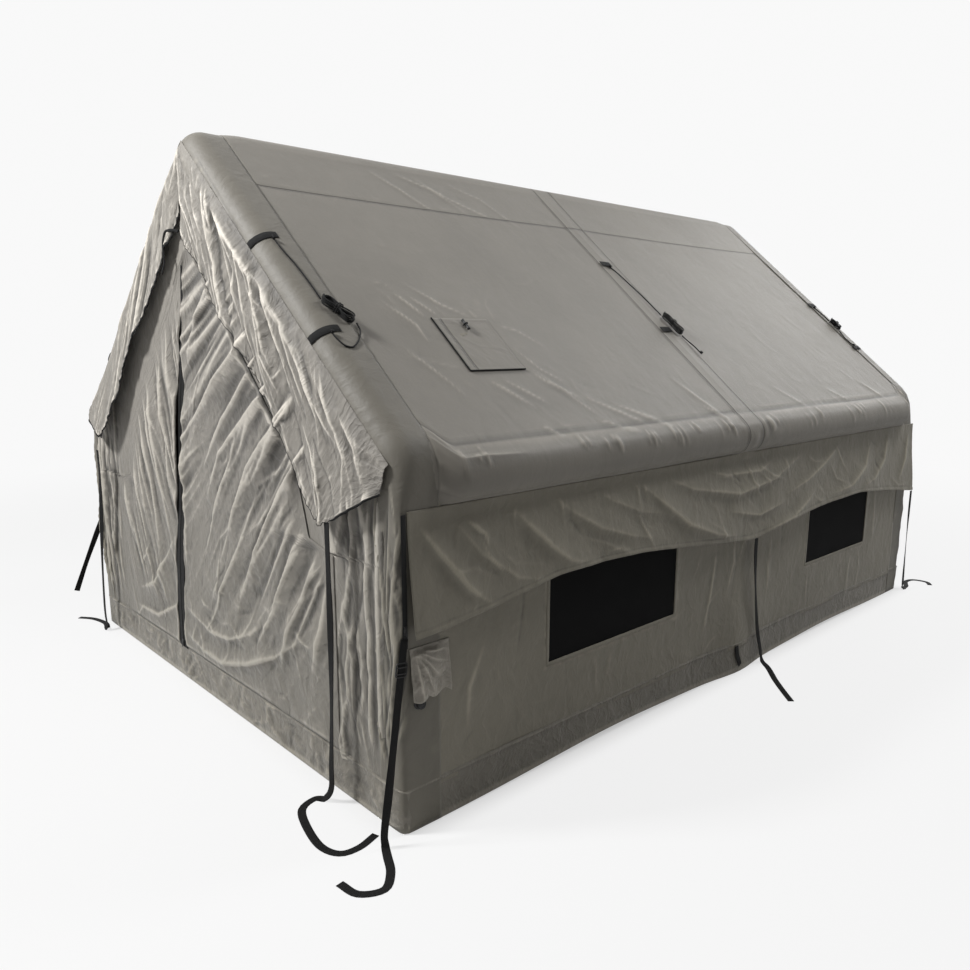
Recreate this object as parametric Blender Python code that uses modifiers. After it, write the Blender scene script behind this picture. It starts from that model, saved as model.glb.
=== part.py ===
"""Air-frame lodge tent with a tub floor, zipped door end, window panels, overhanging flaps and stowed guy cords.

X runs across the tent, Y along the ridge and Z up, all in metres. The door end faces -Y. The floor stands on Z = 0.
"""

import math

import bmesh
import bpy
from mathutils import Matrix, Vector

# Overall sizes
HALF_WIDTH = 1.50
EAVE_IN = 0.09
WALL_IN = 0.062
EAVE_X = HALF_WIDTH - EAVE_IN
EAVE_Z = 1.20
RIDGE_Z = 2.375
ARCH_Y = 1.957
MID_Y = -0.02
GAP = 0.0003
CLOTH = 0.002

# Air tubes
TUBE_R = 0.088
PURLIN_R = 0.084
BEND_R = 0.10
TUBE_SIDES_RES = 8
BEND_STEPS = 6

# Walls, floor tray and roof skin
WALL_X = HALF_WIDTH - WALL_IN
END_OUT = 0.0905
END_Y = ARCH_Y + END_OUT
RIM_Z = 0.16
WALL_TOP_DROP = 0.0805
WALL_TOP_Z = EAVE_Z - WALL_TOP_DROP
COVER_T = 0.0017
COVER_R = TUBE_R + GAP
COVER_HEM_DEG = -70.0
ARC_STEP_DEG = 15.0
END_TOP_DROP = 0.01
END_TOP_Z = EAVE_Z - END_TOP_DROP
END_EDGE = 0.03

# Door end
HINGE_X = 1.06
DOOR_LOW_Z = 0.165
DOOR_TOP_DROP = 0.361
DOOR_TOP_Z = RIDGE_Z - DOOR_TOP_DROP
DOOR_SLOPE = 0.99
DOOR_CORNER_Z = 0.93
DOOR_CORNER_IN = 0.25
DOOR_CORNER_FLAT = 0.16
DOOR_LAP = 0.03
LEAF_T = 0.0019
ZIP_LOW_X = -0.33
ZIP_TOP_X = -0.045
ZIP_TOP_DROP = 0.084
ZIP_TOP_Z = DOOR_TOP_Z - ZIP_TOP_DROP
ZIP_W = 0.016
ZIP_T = 0.0035
SLIDER = (0.022, 0.036, 0.008)

# Windows on both side walls
WINDOW_LOW_Z = 0.43
WINDOW_TOP_Z = 0.95
WINDOW_SPANS = ((-1.355, -0.54), (0.705, 1.44))
MESH_T = 0.0012

# Side flaps under the eave rolls
FLAP_TOP_DROP = 0.085
FLAP_TOP_Z = EAVE_Z - FLAP_TOP_DROP
FLAP_OFF = 0.0027
FLAP_X = WALL_X + FLAP_OFF
FLAP_T = 0.0015
FLAP_OUT = 0.045
FLAP_LOW_Y = (-2.016, -1.68, -1.36, -0.88, -0.40, 0.06, 0.49, 0.85, 1.21, 1.65, 2.045)
FLAP_LOW_Z = (0.700, 0.735, 0.790, 0.786, 0.735, 0.681, 0.744, 0.765, 0.775, 0.730, 0.679)
FLAP_FOLDS = 9
FLAP_FOLD_DEPTH = 0.010

# Side zip at the near corner
SIDE_ZIP_Y = -2.030
SIDE_ZIP_W = 0.018
SIDE_ZIP_Z = (0.665, 1.107)
SIDE_SLIDER = (0.014, 0.030, 0.006)
SIDE_SLIDER_Z = 0.715

# Inflation valve on the near leg, with its cloth flap
VALVE_Y = -1.978
VALVE_Z = 0.463
VALVE_R = 0.021
VALVE_BASE_T = 0.006
VALVE_CAP_T = 0.014
VALVE_CAP_R = 0.017
VALVE_FLAP_Y = (-2.014, -1.850)
VALVE_FLAP_Z = (0.492, 0.660)

# Stove-pipe opening in the roof, given along the slope from the ridge
JACK_S = (1.1355, 1.4350)
JACK_Y = (-1.510, -1.225)
JACK_HOLE_MARGIN = 0.045
JACK_PIPE_R = 0.055
TOGGLE_Y = -1.370
TOGGLE_R = 0.0075
TOGGLE_LEN = 0.055
TOGGLE_IN = 0.018

# Webbing tabs over the arches, by distance along the slope
TAB_W = 0.035
TAB_T = 0.002
FRONT_TAB_S = (0.6735, 1.2006)
MID_TAB_S = (0.654, 1.181)
REAR_TAB_S = (0.904, 1.335)
LEFT_TAB_S = (0.578, 1.374)
MID_TAB_Y = (-0.068, -0.008)
REAR_TAB_Y = (1.872, 1.950)
TAB_ARC_DEG = (26.0, 86.0)

# Guy cords stowed on the roof: (distance along slope, Y) of each free stretch
CORD_D = 0.006
HANK_LOOPS = 4
HANK_POINTS = 32
HANK_PITCH = 0.0066
HANK_HALF_WIDTH = 0.020
FRONT_RUN = ((0.6922, -1.975), (0.760, -1.970), (0.858, -1.955), (0.960, -1.948), (1.046, -1.9463))
FRONT_HANK = (1.114, -1.914, 27.6, 0.066)
FRONT_TAIL = ((1.176, -1.866), (1.215, -1.872), (1.262, -1.902), (1.300, -1.945), (1.290, -1.975),
              (1.255, -1.988), (1.2200, -1.990))
MID_RUN = ((0.6732, -0.030), (0.7216, -0.012), (0.850, 0.010), (0.960, 0.024), (1.0685, 0.0315))
MID_HANK = (1.149, 0.040, 4.0, 0.071)
MID_TAIL = ((1.2283, 0.0482), (1.262, 0.054), (1.310, 0.068), (1.367, 0.072))
REAR_RUN = ((0.9232, 1.906), (0.975, 1.921), (1.030, 1.926), (1.0640, 1.927))
REAR_HANK = (1.114, 1.925, 0.0, 0.043)
REAR_TAIL = ((1.1650, 1.923), (1.200, 1.906), (1.240, 1.890), (1.285, 1.893), (1.3155, 1.902))

# Webbing straps: hanging part in the plane they face, then the part on the ground, from its foot as (X, Y)
STRAP_W = 0.030
STRAP_T = 0.0022
RIGHT_STRAP_Y = -2.1168
LEFT_STRAP_Y = -2.1238
RIGHT_FRONT_HANG = ((1.1310, 1.0444), (1.131, 0.700), (1.118, 0.350), (1.100, 0.030), (1.100, 0))
RIGHT_FRONT_FLOOR = ((0, 0.0098), (-0.068, -0.0332), (-0.04, -0.0982), (0.056, -0.1382),
                     (0.19, -0.1632), (0.268, -0.1382), (0.284, -0.0732), (0.262, 0.0068))
LEFT_FRONT_HANG = ((-1.1300, 1.0444), (-1.130, 0.900), (-1.170, 0.650), (-1.219, 0.420), (-1.262, 0.030),
                   (-1.262, 0))
LEFT_FRONT_FLOOR = ((0.007, 0.0098), (-0.138, 0.0388), (-0.258, 0.0138), (-0.338, -0.0412))
CORNER_STRAP_OFF = 0.0037
CORNER_HANG = ((-2.0345, 0.7000), (-2.0920, 0.3015), (-2.132, 0.030), (-2.132, 0))
CORNER_FLOOR = ((-0.0097, 0.004), (0.1183, -0.058), (0.1703, -0.118), (0.1333, -0.188), (0.0533, -0.203))
MID_STRAP_OFF = 0.0398
MID_HANG = ((0.080, 0.6848), (0.080, 0.640), (0.105, 0.420), (0.150, 0.200), (0.210, 0.030), (0.210, 0))
MID_FLOOR = ((-0.0098, 0.005), (0.0822, -0.06), (0.1622, -0.15), (0.2522, -0.24), (0.3372, -0.32))
REAR_STRAP_OFF = 0.0443
REAR_HANG = ((2.020, 0.6796), (2.020, 0.640), (2.030, 0.340), (2.050, 0.030), (2.050, 0))
REAR_FLOOR = ((-0.0013, -0.01), (-0.0123, 0.1), (-0.0523, 0.2), (-0.0323, 0.28), (0.0477, 0.295),
              (0.0927, 0.24))
LEFT_CORNER_OFF = 0.0477
LEFT_CORNER_HANG = ((-2.000, 0.6994), (-2.002, 0.650), (-2.060, 0.520), (-2.130, 0.360), (-2.195, 0.200))
TAIL_OFF = 0.0003
TAIL_HANG = ((-0.030, 0.150), (-0.020, 0.100), (0.012, 0.040))
BUCKLE = (0.046, 0.052, 0.0065)
BUCKLE_Z = 0.600

# Gable flaps: X along the rake, and for the free edge its X, its drop below the rake and how far it stands out
RAKE_X = (0.012, 0.20, 0.45, 0.70, 0.93, 1.15, 1.27, 1.385)
EDGE_X = (0.020, 0.130, 0.367, 0.606, 0.794, 1.016, 1.130, 1.365)
EDGE_DROP = (0.3063, 0.3317, 0.3712, 0.3660, 0.4333, 0.4703, 0.3883, 0.0725)
RIGHT_FLARE = (0.002, 0.006, 0.010, 0.016, 0.024, 0.050, 0.068, 0.010)
LEFT_FLARE = (0.020, 0.070, 0.100, 0.112, 0.125, 0.130, 0.075, 0.030)
GABLE_FLAP_ROWS = 5
RAKE_LAP = 0.022

SLOPE = math.atan2(RIDGE_Z - EAVE_Z, EAVE_X)
LEG_X = WALL_X - CLOTH - GAP - TUBE_R

CLOTH_ROOF = ("roof_cloth", (0.24, 0.23, 0.20))
CLOTH_WALL = ("wall_cloth", (0.12, 0.11, 0.085))
CLOTH_END = ("end_cloth", (0.30, 0.28, 0.25))
CLOTH_FLAP = ("flap_cloth", (0.20, 0.19, 0.16))
TUBE_SKIN = ("tube_sleeve", (0.24, 0.23, 0.20))
FLOOR_SHEET = ("floor_sheet", (0.10, 0.095, 0.08))
MESH_NET = ("mesh_net", (0.02, 0.02, 0.02))
WEBBING = ("webbing", (0.012, 0.012, 0.012))
CORD = ("guy_cord", (0.015, 0.015, 0.015))
ZIP_TAPE = ("zip_tape", (0.03, 0.03, 0.028))
DARK_PLASTIC = ("dark_plastic", (0.012, 0.012, 0.012))

PLANE_XZ = Matrix(((1, 0, 0, 0), (0, 0, -1, 0), (0, 1, 0, 0), (0, 0, 0, 1)))
PLANE_YZ = Matrix(((0, 0, 1, 0), (1, 0, 0, 0), (0, 1, 0, 0), (0, 0, 0, 1)))
PLANE_XY = Matrix.Identity(4)


def clear_scene():
    for obj in list(bpy.data.objects):
        bpy.data.objects.remove(obj, do_unlink=True)


def make_collection(name):
    made = bpy.data.collections.new(name)
    bpy.context.scene.collection.children.link(made)
    return made


clear_scene()
PARTS = make_collection("inflatable_tent")
CUTTERS = make_collection("cutters")


def material(spec):
    """The material of that name, made once."""
    name, color = spec
    made = bpy.data.materials.get(name)
    if made is None:
        made = bpy.data.materials.new(name)
        made.use_nodes = True
        shader = made.node_tree.nodes["Principled BSDF"]
        shader.inputs["Base Color"].default_value = (*color, 1)
        shader.inputs["Roughness"].default_value = 0.8
    return made


def add_part(name, mesh, look, smooth=False, origin=None):
    """A finished sub-part from a mesh in world places, its origin moved to the given point."""
    obj = bpy.data.objects.new(name, mesh)
    PARTS.objects.link(obj)
    mesh.materials.clear()
    mesh.materials.append(material(look))
    for face in mesh.polygons:
        face.use_smooth = smooth
    if origin is not None:
        mesh.transform(Matrix.Translation(-Vector(origin)))
        obj.location = origin
    return obj


def mesh_from(data, frame):
    """The mesh of a curve, welded and moved into world places."""
    holder = bpy.data.objects.new("holder", data)
    bpy.context.scene.collection.objects.link(holder)
    mesh = bpy.data.meshes.new_from_object(holder)
    bpy.data.objects.remove(holder, do_unlink=True)
    work = bmesh.new()
    work.from_mesh(mesh)
    bmesh.ops.remove_doubles(work, verts=work.verts, dist=GAP / 10)
    bmesh.ops.recalc_face_normals(work, faces=work.faces)
    work.to_mesh(mesh)
    work.free()
    mesh.transform(frame)
    if frame.determinant() < 0:
        mesh.flip_normals()
    return mesh


def prism(loops, thickness, frame, level):
    """A flat panel: closed outlines in the plane of the frame, holes included, centred on that level."""
    data = bpy.data.curves.new("outline", "CURVE")
    data.dimensions = "2D"
    data.fill_mode = "BOTH"
    data.extrude = thickness / 2
    for loop in loops:
        spline = data.splines.new("POLY")
        spline.points.add(len(loop[1:]))
        for point, (across, up) in zip(spline.points, loop):
            point.co = (across, up, 0, 1)
        spline.use_cyclic_u = True
    return mesh_from(data, frame @ Matrix.Translation((0, 0, level)))


def tube(points, radius, resolution):
    """A round tube through the points, its ends closed."""
    data = bpy.data.curves.new("path", "CURVE")
    data.dimensions = "3D"
    data.bevel_depth = radius
    data.bevel_resolution = resolution
    data.use_fill_caps = True
    spline = data.splines.new("POLY")
    spline.points.add(len(points[1:]))
    for point, place in zip(spline.points, points):
        point.co = (*place, 1)
    return mesh_from(data, PLANE_XY)


def cutter(name, mesh):
    obj = bpy.data.objects.new(name, mesh)
    CUTTERS.objects.link(obj)
    obj.hide_render = True
    obj.display_type = "WIRE"
    return obj


def boolean(obj, tool, operation="DIFFERENCE"):
    cut = obj.modifiers.new("shape", "BOOLEAN")
    cut.operation = operation
    cut.solver = "EXACT"
    cut.object = tool


def box_mesh(low, high):
    mesh = bpy.data.meshes.new("box")
    work = bmesh.new()
    bmesh.ops.create_cube(work, size=1)
    for vert in work.verts:
        vert.co = Vector([a + (b - a) * (c + 1 / 2) for a, b, c in zip(low, high, vert.co)])
    work.to_mesh(mesh)
    work.free()
    return mesh


def rounded(corners, steps):
    """A path through corners, each corner given as (point, radius) and turned into an arc."""
    path = [Vector(corners[0][0])]
    for (before, _), (corner, radius), (after, _) in zip(corners, corners[1:], corners[2:]):
        before, corner, after = Vector(before), Vector(corner), Vector(after)
        back = (before - corner).normalized()
        ahead = (after - corner).normalized()
        half = back.angle(ahead) / 2
        middle = corner + (back + ahead).normalized() * radius / math.sin(half)
        start = corner + back * radius / math.tan(half) - middle
        turn = math.pi - 2 * half
        normal = back.cross(ahead).normalized()
        for step in range(steps + 1):
            path.append(middle + Matrix.Rotation(-turn * step / steps, 3, normal) @ start)
    path.append(Vector(corners[-1][0]))
    return path


def arch_path(y):
    """Centre line of one arch, from foot to foot."""
    foot = CLOTH + GAP
    half = [
        ((LEG_X, y, foot), 0),
        ((LEG_X, y, EAVE_Z + (EAVE_X - LEG_X) * math.tan(SLOPE)), BEND_R),
        ((0, y, RIDGE_Z), BEND_R),
    ]
    other = [((-point[0], point[1], point[2]), radius) for point, radius in reversed(half[:2])]
    return rounded(half + other, BEND_STEPS)


def slope_frame(side):
    """Axes on one roof slope: down the slope from the ridge axis, along the tent, out of the slope."""
    down = Vector((side * math.cos(SLOPE), 0, -math.sin(SLOPE)))
    out = Vector((side * math.sin(SLOPE), 0, math.cos(SLOPE)))
    along = out.cross(down)
    frame = Matrix((down, along, out)).transposed().to_4x4()
    frame.translation = (0, 0, RIDGE_Z)
    return frame


ROOF = slope_frame(1)
SKIN_OUT = COVER_R + COVER_T


def arc_points(centre, radius, start_deg, end_deg):
    """Corners of the outline that touches an arc from outside."""
    count = max(1, math.ceil(abs(end_deg - start_deg) / ARC_STEP_DEG))
    turn = math.radians(end_deg - start_deg) / count
    start = math.radians(start_deg)
    spots = [(radius, start)]
    spots += [(radius / math.cos(turn / 2), start + turn * (step + 1 / 2)) for step in range(count)]
    spots.append((radius, start + turn * count))
    return [(centre[0] + reach * math.cos(angle), centre[1] + reach * math.sin(angle)) for reach, angle in spots]


def roof_profile(radius):
    """Right half of the roof skin's section at that distance from the tube centres, from hem to ridge."""
    normal_deg = 90 - math.degrees(SLOPE)
    eave = arc_points((EAVE_X, EAVE_Z), radius, COVER_HEM_DEG, normal_deg)
    ridge = arc_points((0, RIDGE_Z), radius, normal_deg, 90)
    return eave + ridge


def box_loop(low, high):
    return [(low[0], low[1]), (high[0], low[1]), (high[0], high[1]), (low[0], high[1])]


def make_frame():
    """Three arches, four eave tubes and two ridge tubes, the long tubes cut to the arches they meet."""
    arches = (("front_arch_tube", -ARCH_Y), ("middle_arch_tube", MID_Y), ("rear_arch_tube", ARCH_Y))
    tools = []
    for name, y in arches:
        add_part(name, tube(arch_path(y), TUBE_R, TUBE_SIDES_RES), TUBE_SKIN, smooth=True)
        tools.append(cutter(f"{name}_clearance", tube(arch_path(y), TUBE_R + GAP, TUBE_SIDES_RES)))
    bays = (("front", -ARCH_Y, MID_Y, tools[0], tools[1]), ("rear", MID_Y, ARCH_Y, tools[1], tools[2]))
    for bay, y_from, y_to, tool_a, tool_b in bays:
        start = y_from + PURLIN_R / 2
        end = y_to - PURLIN_R / 2
        runs = (("right_eave", EAVE_X, EAVE_Z), ("left_eave", -EAVE_X, EAVE_Z), ("ridge", 0, RIDGE_Z))
        for run, x, z in runs:
            mesh = tube([(x, start, z), (x, end, z)], PURLIN_R, TUBE_SIDES_RES)
            long_tube = add_part(f"{bay}_{run}_tube", mesh, TUBE_SKIN, smooth=True)
            boolean(long_tube, tool_a)
            boolean(long_tube, tool_b)


def make_roof():
    inner = roof_profile(COVER_R)
    outer = roof_profile(SKIN_OUT)
    right = outer + [(-x, z) for x, z in reversed(outer[:-1])]
    left = [(-x, z) for x, z in inner[:-1]] + list(reversed(inner))
    roof = add_part("roof_cover", prism([right + left], 2 * ARCH_Y, PLANE_XZ, 0), CLOTH_ROOF)
    low = (JACK_S[0] + JACK_HOLE_MARGIN, JACK_Y[0] + JACK_HOLE_MARGIN)
    high = (JACK_S[1] - JACK_HOLE_MARGIN, JACK_Y[1] - JACK_HOLE_MARGIN)
    tool = cutter("stove_hole", prism([box_loop(low, high)], TUBE_R, ROOF, SKIN_OUT))
    boolean(roof, tool)
    plate = box_loop([value + GAP for value in low], [value - GAP for value in high])
    centre = ((low[0] + high[0]) / 2, (low[1] + high[1]) / 2)
    pipe = []
    for step in range(24):
        angle = 2 * math.pi * step / 24
        pipe.append((centre[0] + JACK_PIPE_R * math.cos(angle), centre[1] + JACK_PIPE_R * math.sin(angle)))
    level = (COVER_R + SKIN_OUT) / 2
    add_part("stove_jack_collar", prism([plate, pipe], COVER_T, ROOF, level), CLOTH_FLAP)
    flap = [box_loop((JACK_S[0], JACK_Y[0]), (JACK_S[1], JACK_Y[1]))]
    hinge = ROOF @ Vector((JACK_S[0], JACK_Y[0], SKIN_OUT + GAP + CLOTH))
    add_part("stove_flap", prism(flap, CLOTH, ROOF, SKIN_OUT + GAP + CLOTH / 2), CLOTH_ROOF, origin=hinge)
    height = SKIN_OUT + 2 * GAP + CLOTH + TOGGLE_R
    near = JACK_S[0] + TOGGLE_IN
    ends = [ROOF @ Vector((s, TOGGLE_Y, height)) for s in (near, near + TOGGLE_LEN)]
    add_part("flap_toggle", tube(ends, TOGGLE_R, 2), DARK_PLASTIC, smooth=True, origin=ends[0])


def make_shell():
    """Tub floor, side walls with window nets, and both end walls."""
    floor = add_part("tub_floor", box_mesh((-WALL_X, -END_Y, 0), (WALL_X, END_Y, RIM_Z)), FLOOR_SHEET)
    inside = (WALL_X - CLOTH, END_Y - CLOTH)
    boolean(floor, cutter("tub_inside", box_mesh((-inside[0], -inside[1], CLOTH), (*inside, 2 * RIM_Z))))
    wall_low = RIM_Z + GAP
    wall_end = END_Y - CLOTH - GAP
    windows = [box_loop((a, WINDOW_LOW_Z), (b, WINDOW_TOP_Z)) for a, b in WINDOW_SPANS]
    wall = box_loop((-wall_end, wall_low), (wall_end, WALL_TOP_Z))
    for side, sign in (("right", 1), ("left", -1)):
        level = sign * (WALL_X - CLOTH / 2)
        add_part(f"side_wall_{side}", prism([wall] + windows, CLOTH, PLANE_YZ, level), CLOTH_WALL)
        for place, (a, b) in zip(("front", "rear"), WINDOW_SPANS):
            net = [box_loop((a + GAP, WINDOW_LOW_Z + GAP), (b - GAP, WINDOW_TOP_Z - GAP))]
            add_part(f"window_mesh_{side}_{place}", prism(net, MESH_T, PLANE_YZ, level), MESH_NET)
    edge = END_EDGE / math.cos(SLOPE)
    outline = [(-WALL_X, wall_low), (WALL_X, wall_low), (WALL_X, END_TOP_Z), (0, RIDGE_Z + edge), (-WALL_X, END_TOP_Z)]
    level = END_Y - CLOTH / 2
    opening = door_outline(-HINGE_X, HINGE_X, DOOR_LAP)
    add_part("front_gable", prism([outline, opening], CLOTH, PLANE_XZ, level), CLOTH_END)
    add_part("rear_gable", prism([outline], CLOTH, PLANE_XZ, -level), CLOTH_END)


def door_top(x):
    """Height of the door's top edge at that distance from the middle."""
    return DOOR_TOP_Z - DOOR_SLOPE * abs(x)


def door_outline(left, right, inset):
    """The doorway between two X places, drawn in by the inset."""
    made = [(left + inset, DOOR_LOW_Z + inset), (right - inset, DOOR_LOW_Z + inset)]
    for side in (1, -1):
        corner = [
            (side * (HINGE_X - inset), DOOR_CORNER_Z - inset),
            (side * (HINGE_X - DOOR_CORNER_FLAT), DOOR_CORNER_Z - inset),
            (side * (HINGE_X - DOOR_CORNER_IN), door_top(HINGE_X - DOOR_CORNER_IN) - inset),
        ]
        if side == 1:
            made += corner + [(0, DOOR_TOP_Z - inset)]
        else:
            made += reversed(corner)
    return made


def zip_x(z):
    share = (z - DOOR_LOW_Z) / (ZIP_TOP_Z - DOOR_LOW_Z)
    return ZIP_LOW_X + share * (ZIP_TOP_X - ZIP_LOW_X)


def make_door():
    """Two hinged leaves that meet on the slanted zip, its tape and its slider."""
    level = END_Y + GAP + LEAF_T / 2
    whole = door_outline(-HINGE_X, HINGE_X, 0)
    apex = whole[5]
    clear = ZIP_W / 2 + GAP
    tip_z = DOOR_TOP_Z - GAP
    seam = [(zip_x(DOOR_LOW_Z), DOOR_LOW_Z), (zip_x(ZIP_TOP_Z), ZIP_TOP_Z)]
    top_left = (seam[1][0] - clear, door_top(seam[1][0] - clear))
    right_top = (seam[1][0] + clear, door_top(seam[1][0] + clear))
    right = [(seam[0][0] + clear, DOOR_LOW_Z)] + whole[1:5] + [(apex[0], tip_z), right_top]
    right.append((seam[1][0] + clear, ZIP_TOP_Z))
    left = [whole[0], (seam[0][0] - clear, DOOR_LOW_Z), (seam[1][0] - clear, ZIP_TOP_Z), top_left] + whole[6:]
    hinge_y = -level
    add_part("door_leaf_right", prism([right], LEAF_T, PLANE_XZ, level), CLOTH_END,
             origin=(HINGE_X, hinge_y, DOOR_LOW_Z))
    add_part("door_leaf_left", prism([left], LEAF_T, PLANE_XZ, level), CLOTH_END,
             origin=(-HINGE_X, hinge_y, DOOR_LOW_Z))
    half = ZIP_W / 2
    tape = [(x - half, z) for x, z in seam] + [(x + half, z) for x, z in reversed(seam)]
    tape_level = END_Y + GAP + ZIP_T / 2
    add_part("centre_zip", prism([tape], ZIP_T, PLANE_XZ, tape_level), ZIP_TAPE)
    low = Vector((seam[0][0] - SLIDER[0] / 2, -END_Y - 2 * GAP - ZIP_T - SLIDER[2], DOOR_LOW_Z))
    slider = add_part("centre_zip_slider", box_mesh(low, low + Vector((SLIDER[0], SLIDER[2], SLIDER[1]))),
                      DARK_PLASTIC, origin=(seam[0][0], low.y, DOOR_LOW_Z))
    soften(slider, SLIDER[2] / 4)


def soften(obj, width):
    edge = obj.modifiers.new("edge", "BEVEL")
    edge.width = width
    edge.segments = 2
    edge.limit_method = "ANGLE"


def grid_cloth(name, rows, columns, place, thickness, look, offset, origin):
    """A cloth sheet: a grid whose points are put where the place function says, then made solid."""
    mesh = bpy.data.meshes.new(name)
    work = bmesh.new()
    bmesh.ops.create_grid(work, x_segments=columns, y_segments=rows, size=1 / 2)
    for vert in work.verts:
        vert.co = place(vert.co.x + 1 / 2, vert.co.y + 1 / 2)
    work.to_mesh(mesh)
    work.free()
    sheet = add_part(name, mesh, look, smooth=True, origin=origin)
    body = sheet.modifiers.new("cloth", "SOLIDIFY")
    body.thickness = thickness
    body.offset = offset
    return sheet


def between(value, places, values):
    """Value read off a broken line."""
    for a, b, low, high in zip(places, places[1:], values, values[1:]):
        if value <= b:
            return low + (high - low) * max(0, value - a) / (b - a)
    return values[-1]


def make_side_flaps():
    """The long cloth flap that hangs from each eave roll in soft folds."""
    y_from, y_to = FLAP_LOW_Y[0], FLAP_LOW_Y[-1]
    for side, sign in (("right", 1), ("left", -1)):
        def place(u, v):
            y = y_from + (y_to - y_from) * u
            low = between(y, FLAP_LOW_Y, FLAP_LOW_Z)
            drop = 1 - v
            fold = math.sin(2 * math.pi * FLAP_FOLDS * u) * FLAP_FOLD_DEPTH
            out = FLAP_X + (FLAP_OUT + fold) * drop ** (3 / 2)
            return Vector((sign * out, y, FLAP_TOP_Z + (low - FLAP_TOP_Z) * drop))

        grid_cloth(f"side_flap_{side}", 6, 54, place, FLAP_T, CLOTH_FLAP, 0,
                   (sign * (FLAP_X + FLAP_T / 2), y_from, FLAP_TOP_Z))


def make_gable_flaps():
    """Two storm flaps that hang from the front rakes, the left one standing out more."""
    base = -(END_Y + GAP + CLOTH / 2)
    count = len(RAKE_X) - 1
    shares = [step / count for step in range(count + 1)]
    for side, sign, flare in (("right", 1, RIGHT_FLARE), ("left", -1, LEFT_FLARE)):
        def place(u, v):
            top_x = between(u, shares, RAKE_X)
            top = Vector((sign * top_x, 0, RIDGE_Z - math.tan(SLOPE) * top_x + RAKE_LAP))
            edge_x = between(u, shares, EDGE_X)
            edge_z = RIDGE_Z - math.tan(SLOPE) * edge_x - between(u, shares, EDGE_DROP)
            low = Vector((sign * edge_x, 0, edge_z))
            drop = 1 - v
            point = top.lerp(low, drop)
            point.y = base - between(u, shares, flare) * drop
            return point

        grid_cloth(f"gable_flap_{side}", GABLE_FLAP_ROWS, 2 * count, place, CLOTH, CLOTH_END, 0, None)


def make_side_zip():
    half = SIDE_ZIP_W / 2
    tape = [box_loop((SIDE_ZIP_Y - half, SIDE_ZIP_Z[0]), (SIDE_ZIP_Y + half - 2 * GAP, SIDE_ZIP_Z[1]))]
    add_part("side_zip", prism(tape, CLOTH, PLANE_YZ, WALL_X + GAP + CLOTH / 2), ZIP_TAPE)
    low = Vector((WALL_X + 2 * GAP + CLOTH, SIDE_ZIP_Y - SIDE_SLIDER[0] / 2, SIDE_SLIDER_Z))
    high = low + Vector((SIDE_SLIDER[2], SIDE_SLIDER[0], SIDE_SLIDER[1]))
    slider = add_part("side_zip_slider", box_mesh(low, high), DARK_PLASTIC, origin=low)
    soften(slider, SIDE_SLIDER[2] / 4)


def make_valve():
    """Valve body and screw cap on the wall over the near leg, with the cloth flap above them."""
    face = WALL_X + GAP
    base = tube([(face, VALVE_Y, VALVE_Z), (face + VALVE_BASE_T, VALVE_Y, VALVE_Z)], VALVE_R, 6)
    add_part("inflation_valve", base, DARK_PLASTIC, smooth=False)
    start = face + VALVE_BASE_T + GAP
    cap = tube([(start, VALVE_Y, VALVE_Z), (start + VALVE_CAP_T, VALVE_Y, VALVE_Z)], VALVE_CAP_R, 4)
    add_part("valve_cap", cap, DARK_PLASTIC, smooth=False, origin=(start, VALVE_Y, VALVE_Z))
    panel = [box_loop((VALVE_FLAP_Y[0], VALVE_FLAP_Z[0]), (VALVE_FLAP_Y[1], VALVE_FLAP_Z[1]))]
    add_part("valve_flap", prism(panel, CLOTH, PLANE_YZ, face + CLOTH / 2), CLOTH_END,
             origin=(face + CLOTH, VALVE_FLAP_Y[0], VALVE_FLAP_Z[1]))


def make_tabs():
    """Webbing tabs: curved ones over the front arch, flat ones on the roof over the other two."""
    half = TAB_W / 2
    inner = arc_points((0, 0), TUBE_R + GAP, *TAB_ARC_DEG)
    outer = arc_points((0, 0), TUBE_R + GAP + TAB_T, *TAB_ARC_DEG)
    for side, sign, places in (("right", 1, FRONT_TAB_S), ("left", -1, LEFT_TAB_S)):
        frame = slope_frame(sign)
        turn = Matrix(((0, 0, 1, 0), (-sign, 0, 0, -sign * ARCH_Y), (0, 1, 0, 0), (0, 0, 0, 1)))
        for place, s in zip(("upper", "lower"), places):
            mesh = prism([outer + list(reversed(inner))], TAB_W, frame @ turn, s)
            add_part(f"front_{side}_{place}_tab", mesh, WEBBING)
    level = SKIN_OUT + GAP + TAB_T / 2
    for name, spots, (a, b) in (("middle", MID_TAB_S, MID_TAB_Y), ("rear", REAR_TAB_S, REAR_TAB_Y)):
        for place, s in zip(("upper", "lower"), spots):
            flat = [box_loop((s - half, a), (s + half, b))]
            add_part(f"{name}_{place}_tab", prism(flat, TAB_T, ROOF, level), WEBBING)


def roof_height(y):
    """Height of the outer skin over the slope's tube axis, falling away round the end arches."""
    past = max(0, abs(y) - ARCH_Y - 4 * CORD_D)
    return math.sqrt(SKIN_OUT ** 2 - past ** 2)


def smooth_route(points, spacing):
    """A smooth line through the points, with a point at about every spacing."""
    ends = [2 * points[0] - points[1]] + points + [2 * points[-1] - points[-2]]
    made = []
    for before, start, end, after in zip(ends, ends[1:], ends[2:], ends[3:]):
        count = max(1, round((end - start).length / spacing))
        for step in range(count):
            t = step / count
            bend = (2 * before - 5 * start + 4 * end - after) * t * t
            sway = (3 * start - before - 3 * end + after) * t * t * t
            made.append((2 * start + (end - before) * t + bend + sway) / 2)
    made.append(points[-1])
    return made


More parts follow.
